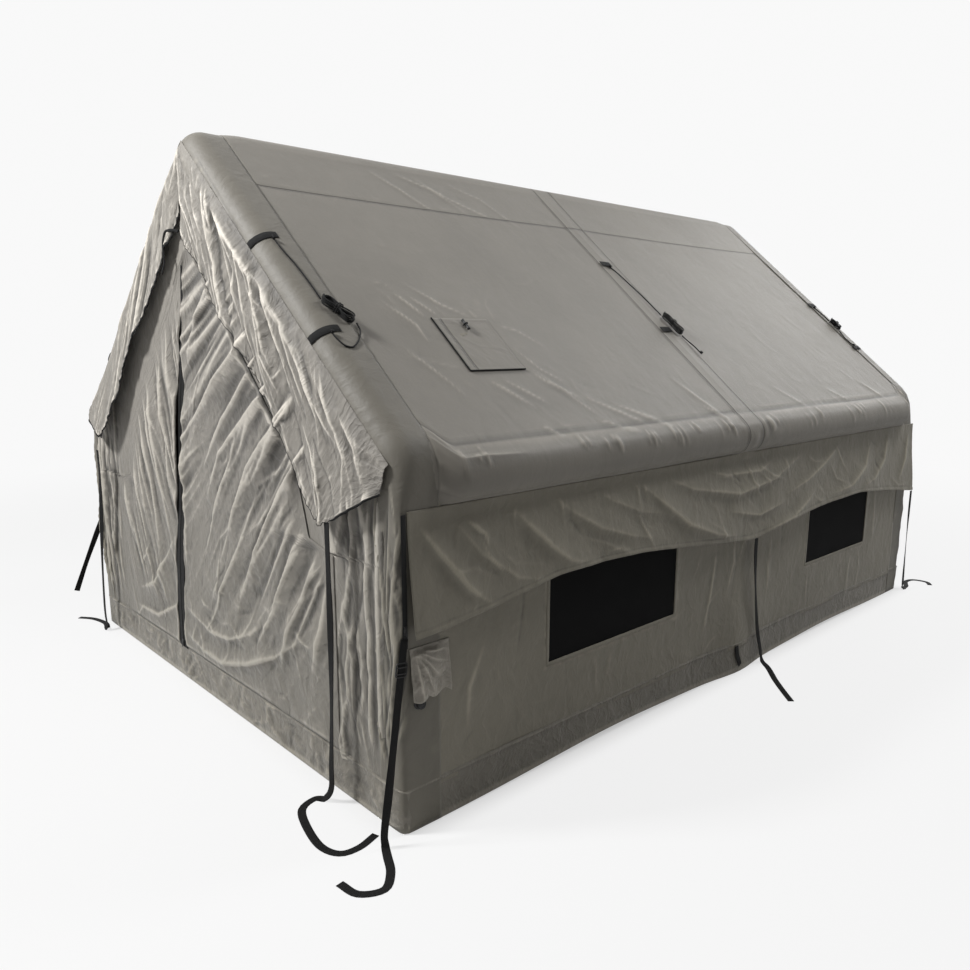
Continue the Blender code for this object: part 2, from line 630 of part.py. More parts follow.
def loop_point(share, half_length):
    """Place on a long loop with round ends, by its share of the way round from the middle of the near end."""
    bend = HANK_HALF_WIDTH
    straight = 2 * (half_length - bend)
    quarter = math.pi * bend / 2
    travel = min(share, 1 - share) * (2 * straight + 4 * quarter)
    if travel < quarter:
        place = (bend - half_length - bend * math.cos(travel / bend), bend * math.sin(travel / bend))
    elif travel < quarter + straight:
        place = (bend - half_length + travel - quarter, bend)
    else:
        angle = (travel - quarter - straight) / bend
        place = (half_length - bend + bend * math.sin(angle), bend * math.cos(angle))
    return Vector((place[0], math.copysign(place[1], 1 / 2 - share), 0))


def hank_points(spec):
    """Centre line of one hank: flat long loops stacked on each other, each a full pitch above the last."""
    s, y, turn_deg, half_length = spec
    turn = Matrix.Rotation(math.radians(turn_deg), 3, "Z")
    floor = SKIN_OUT + GAP + CORD_D / 2
    made = []
    for step in range(HANK_LOOPS * HANK_POINTS + 1):
        flat = turn @ loop_point(step % HANK_POINTS / HANK_POINTS, half_length)
        rise = HANK_PITCH * step / HANK_POINTS
        made.append(Vector((s, y, floor + rise)) + flat)
    return made


def self_gap(points):
    """Least gap between turns of a tube of the cord's size."""
    least = math.inf
    for i, a in enumerate(points):
        for b in points[i + HANK_POINTS // 2:]:
            least = min(least, (a - b).length)
    return least - CORD_D


def make_cords():
    spacing = 2.5 * CORD_D
    sets = (("front", FRONT_RUN, FRONT_HANK, FRONT_TAIL), ("middle", MID_RUN, MID_HANK, MID_TAIL),
            ("rear", REAR_RUN, REAR_HANK, REAR_TAIL))
    for name, run, hank, tail in sets:
        for piece, route in (("run", run), ("tail", tail)):
            raised = [Vector((s, y, roof_height(y) + GAP + CORD_D / 2)) for s, y in route]
            line = [ROOF @ point for point in smooth_route(raised, spacing)]
            add_part(f"{name}_guy_{piece}", tube(line, CORD_D / 2, 2), CORD, smooth=True)
            length = sum((b - a).length for a, b in zip(line, line[1:]))
            print(f"{name}_guy_{piece} length {length:.3f}")
        coil = hank_points(hank)
        length = sum((b - a).length for a, b in zip(coil, coil[1:]))
        print(f"{name}_guy_hank length {length:.3f} least gap {self_gap(coil):.5f}")
        add_part(f"{name}_guy_hank", tube([ROOF @ point for point in coil], CORD_D / 2, 1), CORD, smooth=True)


def strip(points, width):
    """Outline of a band of that width along a broken line."""
    points = [Vector(point) for point in points]
    left, right = [], []
    for before, point, after in zip([points[0]] + points, points, points[1:] + [points[-1]]):
        way = (after - before).normalized()
        side = Vector((-way.y, way.x)) * width / 2
        left.append(tuple(point + side))
        right.append(tuple(point - side))
    return left + list(reversed(right))


def make_strap(name, hang, frame, level, ground):
    """A webbing strap: the hanging part in its plane, joined to the part that lies on the ground."""
    strap = add_part(name, prism([strip(hang, STRAP_W)], STRAP_T, frame, level), WEBBING)
    if ground:
        foot = frame @ Vector((hang[-1][0], 0, level))
        route = [(foot.x + across, foot.y + along) for across, along in ground]
        flat = prism([strip(route, STRAP_W)], STRAP_T, PLANE_XY, STRAP_T / 2)
        boolean(strap, cutter(f"{name}_ground", flat), "UNION")


def make_straps():
    make_strap("front_right_strap", RIGHT_FRONT_HANG, PLANE_XZ, -RIGHT_STRAP_Y, RIGHT_FRONT_FLOOR)
    make_strap("front_left_strap", LEFT_FRONT_HANG, PLANE_XZ, -LEFT_STRAP_Y, LEFT_FRONT_FLOOR)
    make_strap("corner_strap", CORNER_HANG, PLANE_YZ, WALL_X + CORNER_STRAP_OFF, CORNER_FLOOR)
    make_strap("middle_strap", MID_HANG, PLANE_YZ, WALL_X + MID_STRAP_OFF, MID_FLOOR)
    make_strap("rear_strap", REAR_HANG, PLANE_YZ, WALL_X + REAR_STRAP_OFF, REAR_FLOOR)
    make_strap("left_corner_strap", LEFT_CORNER_HANG, PLANE_YZ, -WALL_X - LEFT_CORNER_OFF, None)
    make_strap("middle_strap_tail", TAIL_HANG, PLANE_YZ, WALL_X + TAIL_OFF + STRAP_T / 2, None)


def make_buckle():
    """A ladder buckle: a rounded block with a slot that clears the corner strap all round."""
    y = between(-BUCKLE_Z, [-z for _, z in CORNER_HANG], [y for y, _ in CORNER_HANG])
    way = Vector(CORNER_HANG[1]) - Vector(CORNER_HANG[0])
    tilt = Matrix.Rotation(math.atan2(way.x, -way.y), 4, "X")
    half = Vector((BUCKLE[2] / 2, BUCKLE[0] / 2, BUCKLE[1] / 2))
    centre = (WALL_X + CORNER_STRAP_OFF, y, BUCKLE_Z)
    at = Matrix.Translation(centre) @ tilt
    body = box_mesh(-half, half)
    body.transform(at)
    buckle = add_part("strap_buckle", body, DARK_PLASTIC, origin=centre)
    room = Vector((STRAP_T / 2 + GAP, STRAP_W / 2 + 4 * GAP, BUCKLE[1]))
    slot = box_mesh(-room, room)
    slot.transform(at)
    boolean(buckle, cutter("buckle_slot", slot))


make_frame()
make_roof()
make_shell()
make_door()
make_side_flaps()
make_gable_flaps()
make_side_zip()
make_valve()
make_tabs()
make_cords()
make_straps()
make_buckle()
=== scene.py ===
"""Looks of the air-frame lodge tent: cloth, seams, cords and straps over its CAD frame, with its camera and stage.

X runs across the tent, Y along the ridge and Z up, in metres. The door end faces -Y.
"""
import math

import bmesh
import bpy
import numpy as np
from mathutils import Matrix, Vector


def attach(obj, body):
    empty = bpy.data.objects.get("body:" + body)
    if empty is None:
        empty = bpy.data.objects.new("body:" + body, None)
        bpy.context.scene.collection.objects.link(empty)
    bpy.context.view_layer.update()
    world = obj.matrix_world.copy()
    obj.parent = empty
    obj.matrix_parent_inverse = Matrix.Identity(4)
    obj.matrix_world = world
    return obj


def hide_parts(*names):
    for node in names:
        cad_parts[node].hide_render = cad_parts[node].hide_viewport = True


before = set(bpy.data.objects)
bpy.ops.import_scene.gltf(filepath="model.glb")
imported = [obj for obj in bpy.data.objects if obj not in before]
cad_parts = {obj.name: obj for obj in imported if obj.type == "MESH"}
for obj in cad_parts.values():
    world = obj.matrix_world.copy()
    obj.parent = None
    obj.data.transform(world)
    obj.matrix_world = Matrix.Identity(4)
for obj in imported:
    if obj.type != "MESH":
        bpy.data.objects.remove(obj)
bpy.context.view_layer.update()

bl_info = {
    "name": "Air-frame tent",
    "version": (1, 0, 0),
    "blender": (4, 5, 0),
    "location": "3D View > Sidebar > Tent",
    "description": "Dresses the air-frame tent in its cloth, cords and straps",
    "category": "Object",
}

# Sizes shared with the solids
EAVE_X = 1.41
EAVE_Z = 1.20
RIDGE_Z = 2.375
ARCH_Y = 1.957
MID_Y = -0.02
SKIN_R = 0.0900
LEG_X = 1.3477
WALL_X = 1.438
END_Y = 2.0475
CLOTH = 0.002
GAP = 0.0003
SLOPE = math.atan2(RIDGE_Z - EAVE_Z, EAVE_X)
NORMAL = math.pi / 2 - SLOPE
SLOPE_LEN = EAVE_X / math.cos(SLOPE)

# Sizes of the dressed tent: its cloth, the roof's middle band and seams, and where the panels end
SHEET = 0.0012
BAND_EDGES = (-0.082, 0.042)
TOP_SEAM = 0.340
PANEL_END = 1.895
END_SEAM = 1.887


# Arrays and shapes

def ramp(value, low, high):
    """0 below low and 1 above high, joined by a smooth step."""
    t = np.clip((value - low) / (high - low), 0, 1)
    return t * t * (3 - 2 * t)


def hump(value, middle, width):
    """A rounded hump, 1 at the middle and near 0 two widths away."""
    return np.exp(-((value - middle) / width) ** 2)


def spread(*spans):
    """Grid places: each span is (start, end, count), and they follow on from each other."""
    parts = [np.linspace(start, end, count, endpoint=False) for start, end, count in spans]
    return np.concatenate(parts + [[spans[-1][1]]])


def outside(value, low, high):
    """How far a value is outside a span, 0 inside it."""
    return np.maximum(np.maximum(low - value, value - high), 0)


def between(value, start, end, soft):
    """1 from start to end, falling to 0 over soft beyond them."""
    return ramp(value, start - soft, start) - ramp(value, end, end + soft)


def placed(*parts):
    """Points from their X, Y and Z, or UVs from their U and V, spread over one grid."""
    return np.stack(np.broadcast_arrays(*parts), axis=-1).astype(float)


def travelled(points):
    """Distance gone at each point of a line: the running sum of its steps."""
    return np.concatenate([[0], np.cumsum(np.linalg.norm(np.diff(points, axis=0), axis=1))])


def evenly(points, count, last=False):
    """Places at equal distances along a line, with those distances."""
    gone = travelled(points)
    at = np.linspace(0, gone[-1], count, endpoint=last)
    return placed(*(np.interp(at, gone, part) for part in points.T)), at


def read_off(value, table):
    """Reads a table of (place, amount) pairs, with straight lines between them."""
    return np.interp(value, *np.transpose(table))


def ripple(u, v, cell, seed):
    """Smooth random height from -1 to 1: seeded values on a square lattice, joined by smooth steps."""
    table = np.random.default_rng(seed).uniform(-1, 1, (61, 61))
    a, b = np.broadcast_arrays(u / cell + 500.5, v / cell + 500.5)
    i, j = np.floor(a).astype(int), np.floor(b).astype(int)
    fa, fb = a - i, b - j
    fa, fb = fa * fa * (3 - 2 * fa), fb * fb * (3 - 2 * fb)
    low = table[i % 61, j % 61] * (1 - fa) + table[(i + 1) % 61, j % 61] * fa
    high = table[i % 61, (j + 1) % 61] * (1 - fa) + table[(i + 1) % 61, (j + 1) % 61] * fa
    return low * (1 - fb) + high * fb


def crumple(u, v, cell, seed):
    """Sharp creases at two sizes: one less the size of a smooth random height, so that it folds at its zeros."""
    warp = 0.35 * cell * ripple(u, v, cell * 1.7, seed + 7)
    big = 1 - 2.2 * np.abs(ripple(u + warp, v - warp, cell, seed))
    small = 1 - 2.2 * np.abs(ripple(u - warp, v + warp, cell * 0.43, seed + 3))
    return big + 0.45 * small


def fold(u, v, route, width, height, sharp=1.6, steep=1.0):
    """A raised fold along a broken line: highest half-way, thinning out at both ends, falling off to both sides.

    Under 1.3 sharp gives a crisp crest; steep makes one side wider and the other narrower by that factor.
    """
    route = np.asarray(route, float)
    steps = np.diff(route, axis=0)
    lengths = np.hypot(steps[:, 0], steps[:, 1])
    gone = np.concatenate([[0], np.cumsum(lengths)])
    least = np.full(np.broadcast(u, v).shape, 1e9)
    place = np.zeros_like(least)
    left = np.zeros_like(least)
    for start, step, length, before in zip(route, steps, lengths, gone):
        t = np.clip(((u - start[0]) * step[0] + (v - start[1]) * step[1]) / length ** 2, 0, 1)
        away = np.hypot(u - start[0] - t * step[0], v - start[1] - t * step[1])
        nearer = away < least
        least = np.where(nearer, away, least)
        place = np.where(nearer, before + t * length, place)
        left = np.where(nearer, (v - start[1]) * step[0] - (u - start[0]) * step[1], left)
    taper = np.sin(np.pi * np.clip(place / gone[-1], 0, 1)) ** 0.9
    reach = width * np.where(left > 0, steep, 1 / steep)
    return height * taper * np.exp(-(least / reach) ** sharp)


def folds(u, v, routes, sharp=1.6, steep=1.0):
    """The sum of several folds, each given as (route, width, height)."""
    total = np.zeros(np.broadcast(u, v).shape)
    for route, width, height in routes:
        route = np.asarray(route, float)
        reach = 4 * width * max(steep, 1 / steep)
        low, high = route.min(axis=0) - reach, route.max(axis=0) + reach
        near = (u > low[0]) & (u < high[0]) & (v > low[1]) & (v < high[1])
        total[near] += fold(u[near], v[near], route, width, height, sharp, steep)
    return total


def strokes(u, v, count, seed, span, lean, length, width, height, sharp=1.6, steep=1.0):
    """Many seeded folds: places in the span (u0, v0, u1, v1), leaning about the angle, of mixed length and height."""
    rng = np.random.default_rng(seed)
    routes = []
    for _ in range(count):
        at = rng.uniform(span[:2], span[2:])
        angle = lean[0] + rng.normal() * lean[1]
        half = rng.uniform(*length) / 2
        way = np.array([math.cos(angle), math.sin(angle)]) * half
        sway = np.array([-way[1], way[0]]) * rng.uniform(-0.3, 0.3)
        size = rng.uniform(0.6, 1.3)
        routes.append(([at - way, at + sway, at + way], width * size, height * rng.uniform(-0.6, 1)))
    return folds(u, v, routes, sharp, steep)


def pleats(u, v, centre, middle, cell, draw, seed):
    """Straight sharp-crested folds that fan out from a far centre: one less the size of a smooth random height.

    The height is drawn out along the rays by draw; cell is the fold's width at the middle distance.
    """
    reach = np.hypot(u - centre[0], v - centre[1])
    angle = np.arctan2(v - centre[1], u - centre[0])
    return 1 - 2.2 * np.abs(ripple(angle * middle, reach * draw, cell, seed))


def fan(u, v, centre, middle, *layers):
    """Pleats of several sizes from one centre, added up; each layer is (height, cell, draw, seed)."""
    return sum(height * pleats(u, v, centre, middle, *rest) for height, *rest in layers)


def blurred(height, reach):
    """Means over a square of cells on every side, from running sums."""
    size = 2 * reach + 1
    for axis in (0, 1):
        pad = [(0, 0), (0, 0)]
        pad[axis] = (reach + 1, reach)
        total = np.cumsum(np.pad(height, pad, mode="edge"), axis=axis)
        late = np.take(total, np.arange(size, total.shape[axis]), axis=axis)
        height = (late - np.take(total, np.arange(total.shape[axis] - size), axis=axis)) / size
    return height


def normals(points):
    """Unit normals of a grid of points: the step along a row crossed with the step to the next row."""
    across = np.gradient(points, axis=1)
    down = np.gradient(points, axis=0)
    out = np.cross(across, down)
    return out / np.maximum(np.linalg.norm(out, axis=2, keepdims=True), 1e-12)


def raised(points, height):
    """A grid of points moved out along its normals by the height."""
    return points + normals(points) * height[..., None]


def lengths_uv(points):
    """UV in metres: run along each row and down each column, from the grid's own middle lines."""
    across = np.linalg.norm(np.diff(points, axis=1), axis=2).mean(axis=0)
    down = np.linalg.norm(np.diff(points, axis=0), axis=2).mean(axis=1)
    u = np.concatenate([[0], np.cumsum(across)])
    v = np.concatenate([[0], np.cumsum(down)])
    return placed(u[None, :], v[:, None])


def surface(name, points, uv=None, keep=None, closed=False, relief=None, reach=7, turned=False):
    """A mesh object from a grid of points; closed joins the last column to the first, keep drops some faces.

    relief is (heights, size): how far each point stands over its surroundings of that reach, kept from -1 to 1. The
    cloth materials turn it into painted highlights on crests and painted shade in hollows.
    turned takes the columns the other way, so that the faces of a left-hand piece point outwards too.
    """
    if turned:
        points = points[:, ::-1]
        keep = None if keep is None else keep[:, ::-1]
        relief = None if relief is None else (relief[0][:, ::-1], relief[1])
    rows, cols = points.shape[:2]
    if uv is None:
        uv = lengths_uv(np.concatenate([points, points[:, :1]], axis=1) if closed else points)
    at = np.arange(rows * cols).reshape(rows, cols)
    at = np.concatenate([at, at[:, :1]], axis=1) if closed else at
    spot = np.arange(uv.shape[0] * uv.shape[1]).reshape(uv.shape[:2])
    pick = slice(None) if keep is None else keep.ravel()
    quads = [np.stack([g[:-1, :-1], g[:-1, 1:], g[1:, 1:], g[1:, :-1]], axis=-1).reshape(-1, 4)[pick]
             for g in (at, spot)]
    mesh = bpy.data.meshes.new(name)
    mesh.vertices.add(rows * cols)
    mesh.vertices.foreach_set("co", points.reshape(-1).astype(np.float32))
    mesh.loops.add(quads[0].size)
    mesh.loops.foreach_set("vertex_index", quads[0].ravel().astype(np.int32))
    mesh.polygons.add(len(quads[0]))
    mesh.polygons.foreach_set("loop_start", np.arange(0, quads[0].size, 4, dtype=np.int32))
    mesh.polygons.foreach_set("use_smooth", np.ones(len(quads[0]), dtype=bool))
    layer = mesh.uv_layers.new(name="UVMap")
    layer.data.foreach_set("uv", uv.reshape(-1, 2)[quads[1].ravel()].ravel().astype(np.float32))
    mesh.update(calc_edges=True)
    mesh.validate()
    if relief is not None:
        broad = relief[0] - blurred(relief[0], reach)
        close = relief[0] - blurred(relief[0], 2)
        local = np.clip((broad * 0.6 + close * 2.0) / relief[1], -1, 1)
        # The cloth materials turn this height into painted highlights on crests and painted shade in hollows.
        mesh.attributes.new("relief", "FLOAT", "POINT").data.foreach_set("value", local.ravel().astype(np.float32))
    obj = bpy.data.objects.new(name, mesh)
    bpy.context.scene.collection.objects.link(obj)
    return obj


def finish(obj, look, body="root", thick=None, node=None):
    """Gives a piece its material, its wall and its body, and hides the CAD node that it stands for; none of it is below
    0.
    """
    obj.data.materials.append(LOOKS[look])
    spots = np.empty(len(obj.data.vertices) * 3, np.float32)
    obj.data.vertices.foreach_get("co", spots)
    spots[2::3] = np.maximum(spots[2::3], 0.0002)
    obj.data.vertices.foreach_set("co", spots)
    if thick:
        wall = obj.modifiers.new("wall", "SOLIDIFY")
        wall.thickness = thick
        wall.offset = -1
    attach(obj, body)
    if node:
        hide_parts(node)


def sweep(name, path, ring, up=None, loop=False):
    """A closed ring of (side, up) offsets carried along a path; up is one vector or one for each path point."""
    path = np.asarray(path, float)
    way = np.roll(path, -1, axis=0) - np.roll(path, 1, axis=0) if loop else np.gradient(path, axis=0)
    way /= np.linalg.norm(way, axis=1, keepdims=True)
    if up is None:
        up = steady(way)
    up = np.broadcast_to(up, path.shape)
    side = np.cross(way, up)
    side /= np.linalg.norm(side, axis=1, keepdims=True)
    top = np.cross(side, way)
    ring = np.asarray(ring, float)
    ring = np.broadcast_to(ring, (len(path),) + ring.shape[-2:])
    points = path[:, None] + side[:, None] * ring[..., :1] + top[:, None] * ring[..., 1:]
    ends = [np.repeat(points[i].mean(axis=0)[None, None], points.shape[1], axis=1) for i in (0, -1)]
    points = np.concatenate([points, points[:1]] if loop else [ends[0], points, ends[1]], axis=0)
    obj = surface(name, points, closed=True)
    weld(obj)
    return obj


def steady(way):
    """Directions square to the path that turn as little as they can from one point to the next."""
    first = np.cross(way[0], (0.31, 0.52, 0.79))
    ups = [first / np.linalg.norm(first)]
    for step in way[1:]:
        turned = ups[-1] - step * np.dot(ups[-1], step)
        ups.append(turned / np.linalg.norm(turned))
    return np.array(ups)


def weld(obj):
    """Merges doubled points and turns all faces outwards."""
    work = bmesh.new()
    work.from_mesh(obj.data)
    bmesh.ops.remove_doubles(work, verts=work.verts, dist=1e-6)
    bmesh.ops.recalc_face_normals(work, faces=work.faces)
    work.to_mesh(obj.data)
    work.free()


def circle(radius, count=12):
    """A ring of points at the radius round (0, 0)."""
    angle = np.linspace(0, 2 * np.pi, count, endpoint=False)
    return placed(radius * np.cos(angle), radius * np.sin(angle))


def rings(ring, wide, deep):
    """One ring for each place along a path: an outline times its width and its depth there."""
    return np.asarray(ring)[None] * placed(wide, deep)[:, None]


def curve(i, t, points):
    """A smooth curve through the points (Catmull-Rom), at the share t of the way from point i to the next."""
    points = np.asarray(points, float)
    ends = np.concatenate([[2 * points[0] - points[1]], points, [2 * points[-1] - points[-2]]])
    a, b, c, d = (ends[i + step] for step in range(4))
    return (2 * b + (c - a) * t + (2 * a - 5 * b + 4 * c - d) * t ** 2 + (3 * b - a - 3 * c + d) * t ** 3) / 2


def smooth_route(points, spacing):
    """The curve through all the points, with a place on it at about every spacing."""
    points = np.asarray(points, float)
    counts = [max(1, round(length / spacing)) for length in np.linalg.norm(np.diff(points, axis=0), axis=1)]
    t = np.concatenate([np.arange(count) / count for count in counts])[:, None]
    return np.concatenate([curve(np.repeat(np.arange(len(counts)), counts), t, points), points[-1:]])


def smooth_interp(value, values):
    """The curve through values that are evenly spaced from 0 to 1."""
    at = np.clip(value, 0, 1) * (len(values) - 1)
    i = np.minimum(at.astype(int), len(values) - 2)
    return curve(i, at - i, values)


def running_mean(values, reach):
    """Each value's mean with its neighbours on both sides, as far as the reach."""
    size = 2 * reach + 1
    return np.convolve(np.pad(values, reach, mode="edge"), np.ones(size) / size, mode="valid")


def rounded_ends(t, end, steep):
    """1 along a small piece, rounded off to both ends: the root of a steep half wave."""
    return np.clip(np.sin(np.pi * (end + (1 - 2 * end) * t)) * steep, 0, 1) ** 0.5


def on_roof(s, y, n, side=1):
    """Place from the distance down the slope, Y, and height out of the slope's tube axis."""
    return placed(side * (s * math.cos(SLOPE) + n * math.sin(SLOPE)), y,
                  RIDGE_Z - s * math.sin(SLOPE) + n * math.cos(SLOPE))


# Materials

class Value:
    """A node socket that can be used in sums: +, -, * and abs() add Math nodes."""

    def __init__(self, look, socket):
        self.look, self.socket = look, socket

    def output(self, key):
        """Another output of the same node."""
        return Value(self.look, self.socket.node.outputs[key])

    def math(self, operation, other, turned=False):
        """The Math node of this value and another, which comes first when turned."""
        pair = (other, self) if turned else (self, other)
        return self.look.node("ShaderNodeMath", {"operation": operation}, {0: pair[0], 1: pair[1]})

    def __add__(self, other):
        return self.math("ADD", other)

    __radd__ = __add__

    def __sub__(self, other):
        return self.math("SUBTRACT", other)

    def __rsub__(self, other):
        return self.math("SUBTRACT", other, True)

    def __mul__(self, other):
        return self.math("MULTIPLY", other)

    __rmul__ = __mul__

    def __abs__(self):
        return self.math("ABSOLUTE", 0)

    def over(self, edge, soft):
        """0 under the edge and 1 over it, with a soft step."""
        return self.look.node("ShaderNodeMapRange", {"interpolation_type": "SMOOTHSTEP"},
                              {0: self, 1: edge - soft, 2: edge + soft, 3: 0.0, 4: 1.0})


class Nodes:
    """The nodes of a material or of the world."""

    def __init__(self, tree):
        self.nodes, self.links = tree.nodes, tree.links

    def node(self, kind, settings=None, inputs=None, out=0):
        """Adds a node: settings first, then the values or links of its sockets."""
        node = self.nodes.new(kind)
        for key, value in (settings or {}).items():
            setattr(node, key, value)
        for key, value in (inputs or {}).items():
            if isinstance(value, Value):
                self.links.new(value.socket, node.inputs[key])
            else:
                node.inputs[key].default_value = value
        return Value(self, node.outputs[out]) if node.outputs else None


class Look(Nodes):
    """One material: its Principled shader and the nodes that feed it."""

    def __init__(self, name, **plain):
        self.made = bpy.data.materials.new(name)
        self.made.use_nodes = True
        super().__init__(self.made.node_tree)
        self.shader = self.nodes["Principled BSDF"]
        self.place = self.node("ShaderNodeTexCoord", out="Object")
        self.uv = self.node("ShaderNodeTexCoord", out="UV")
        for key, value in plain.items():
            self.shader.inputs[key.replace("_", " ")].default_value = value

    def parts(self, where):
        """The X, Y and Z of a place."""
        first = self.node("ShaderNodeSeparateXYZ", None, {0: where})
        return first, first.output(1), first.output(2)

    def scaled(self, where, scale, turn=0.0):
        """A place multiplied by the scale and turned about Z."""
        return self.node("ShaderNodeMapping", None, {"Vector": where, "Scale": scale, "Rotation": (0, 0, turn)})

    def noise(self, where, scale, detail=3.0, rough=0.55):
        """Cloudy values about 0.5, with that many smaller sizes on top."""
        return self.node("ShaderNodeTexNoise", None,
                         {"Vector": where, "Scale": scale, "Detail": detail, "Roughness": rough})

    def wave(self, where, scale, axis="X"):
        """Even bands from 0 to 1 across one axis."""
        return self.node("ShaderNodeTexWave", {"bands_direction": axis}, {"Vector": where, "Scale": scale}, 1)

    def mixed(self, share, a, b):
        """Colour a where the share is 0 and b where it is 1."""
        a, b = ((*color, 1) if isinstance(color, tuple) else color for color in (a, b))
        return self.node("ShaderNodeMix", {"data_type": "RGBA"}, {0: share, 6: a, 7: b}, 2)

    def feed(self, name, value):
        """Links a value to the shader's input of that name."""
        self.links.new(value.socket, self.shader.inputs[name])

    def bump(self, height, distance):
        """Bends the shader's normal by the slope of a height, which counts for that distance."""
        settings = {"Height": height, "Distance": distance, "Strength": 1.0}
        self.feed("Normal", self.node("ShaderNodeBump", None, settings))


def tinted(color, share):
    """A colour times the share, kept under 1."""
    return tuple(min(1.0, part * share) for part in color)


def cloth_look(name, color, rough=0.62, dark=1.0, lean=0.0, stretch=1.0, creased=1.0, seams=(), crease_shade_and_highlight=0.5,
               pale=1.9, deep=0.45, low=1.0):
    """Proofed canvas: plain weave, cloudy tone, sharp creases and stitched seams, with painted shade in the creases and
    seams and painted highlights on crease ridges and fold crests.

    lean and stretch turn and draw out the creases in the UV plane; each seam is (axis, place, reach, its ends).
    The crests of the modelled folds are painted paler and their valleys painted darker, by the relief kept in the mesh:
    painted highlights and painted shade.
    low is how much darker, and a little warmer, the cloth is made towards the ground.
    """
    look = Look(name, Sheen_Weight=0.12, Sheen_Roughness=0.5, Specular_IOR_Level=0.32)
    color = tinted(color, dark)
    cloud = look.noise(look.place, 1.9, 4.0, 0.6)
    fine = look.noise(look.place, 42.0, 4.0, 0.62)
    drift = look.node("ShaderNodeTexNoise", None, {"Vector": look.uv, "Scale": 5.0, "Detail": 3.0}, 1)
    bent = look.node("ShaderNodeVectorMath", {"operation": "MULTIPLY_ADD"}, {0: drift, 1: (0.16, 0.16, 0), 2: look.uv})
    flow = look.scaled(bent, (1.0, 1.0 / stretch, 1.0), lean)
    facets = 0.0
    for scale, weight in ((4.5, 1.0), (10.5, 0.5), (25.0, 0.2)):
        edge = look.node("ShaderNodeTexVoronoi", {"feature": "DISTANCE_TO_EDGE", "voronoi_dimensions": "2D"},
                         {"Vector": flow, "Scale": scale}, "Distance")
        facets = edge * weight + facets
    ridges = 0.0
    for scale, weight in ((6.0, 0.5), (15.0, 0.35), (38.0, 0.2)):
        crest = 1 - abs(look.noise(flow, scale, 2.0, 0.5) - 0.5) * 12.0
        ridges = crest.math("MAXIMUM", 0.0) * weight + ridges
    patch = look.noise(look.place, 2.6, 3.0).over(0.5, 0.25)
    threads = look.wave(look.uv, 150.0, "X") * look.wave(look.uv, 150.0, "Y")
    stand = look.node("ShaderNodeAttribute", {"attribute_name": "relief"}, out="Fac")
    tone = look.mixed(cloud.over(0.5, 0.25), tinted(color, 0.92), tinted(color, 1.07))
    tone = look.mixed(fine.over(0.63, 0.1) * 0.14, tone, tinted(color, 1.25))
    # Painted shade: the crease lines are darkened, more strongly in cloudy patches.
    tone = look.mixed((1 - facets.over(0.10, 0.09)) * (patch * 0.20 * crease_shade_and_highlight + 0.06), tone, tinted(color, 0.60))
    # Painted highlights: the crease ridges are lightened.
    tone = look.mixed(ridges * (0.42 * crease_shade_and_highlight), tone, tinted(color, 1.55))
    # Painted highlights on the fold crests and painted shade in the fold valleys, read from the relief attribute.
    tone = look.mixed(stand.over(0.5, 0.5) * 0.85, tone, tinted(color, pale))
    tone = look.mixed((0 - stand).over(0.5, 0.5) * 0.85, tone, tinted(color, deep))
    if low < 1:
        height = look.parts(look.place)[2]
        dull = look.node("ShaderNodeVectorMath", {"operation": "MULTIPLY"}, {0: tone, 1: (low, low, low * 0.96)})
        tone = look.mixed((1 - height.over(0.75, 0.65)) * (cloud * 0.6 + 0.7), tone, dull)
    relief = facets * (patch * 0.7 + 0.3) * creased + ridges * (0.30 * creased)
    if seams:
        sides = look.parts(look.uv)[:2]
        lines = 0.0
        for axis, at, reach, ends in seams:
            line = 1 - abs(sides[axis] - at).over(reach, reach * 0.6)
            other = sides[1 - axis]
            lines = line * other.over(ends[0], 0.004) * (1 - other.over(ends[1], 0.004)) + lines
        # The seam lines are darkened: partly the seams' own dark stitching, partly painted shade in their grooves.
        tone = look.mixed(lines * 0.85, tone, tinted(color, 0.36))
        relief = relief - lines * 0.12
    look.feed("Base Color", look.mixed(threads * 0.10, tone, tinted(color, 0.72)))
    look.feed("Roughness", rough + (fine - 0.5) * 0.16)
    crinkle = look.noise(look.place, 15.0, 5.0, 0.55)
    look.bump(relief + crinkle * (0.20 * creased) + fine * 0.035 + threads * 0.006, 0.020)
    return look.made


def webbing_look(name, color):
    """Woven strap: ribs across its width, fine chevrons along it and slightly furred, paler edges."""
    look = Look(name, Specular_IOR_Level=0.18)
    ribs = look.wave(look.uv, 160.0, "Y")
    rows = look.wave(look.uv, 95.0, "X")
    fur = look.noise(look.place, 300.0, 3.0)
    tone = look.mixed(ribs * rows * 0.8, tinted(color, 0.6), tinted(color, 1.6))
    look.feed("Base Color", look.mixed(fur.over(0.66, 0.06) * 0.3, tone, tinted(color, 3.0)))
    look.feed("Roughness", 0.66 + fur * 0.2)
    look.bump(ribs * 0.6 + rows * 0.5 + fur * 0.2, 0.0007)
    return look.made


def cord_look(name, color):
    """Braided cord: two crossing sets of slanted strands."""
    look = Look(name, Specular_IOR_Level=0.2)
    left, right = (look.wave(look.scaled(look.uv, (1.0, 1.0, 1.0), turn), 120.0, "X") for turn in (0.7, -0.7))
    look.feed("Base Color", look.mixed(left * right, tinted(color, 0.7), tinted(color, 2.0)))
    look.feed("Roughness", 0.55 + left * 0.15)
    look.bump(left + right, 0.0008)
    return look.made


def plastic_look(name, color):
    """Moulded plastic: a fine satin grain with a few scuffs."""
    look = Look(name, Specular_IOR_Level=0.4)
    grain = look.noise(look.place, 900.0, 2.0)
    scuff = look.noise(look.scaled(look.place, (1.0, 1.0, 6.0)), 60.0, 4.0)
    look.feed("Base Color", look.mixed(scuff.over(0.64, 0.05), color, tinted(color, 2.2)))
    look.feed("Roughness", 0.38 + scuff * 0.2)
    look.bump(grain, 0.0002)
    return look.made


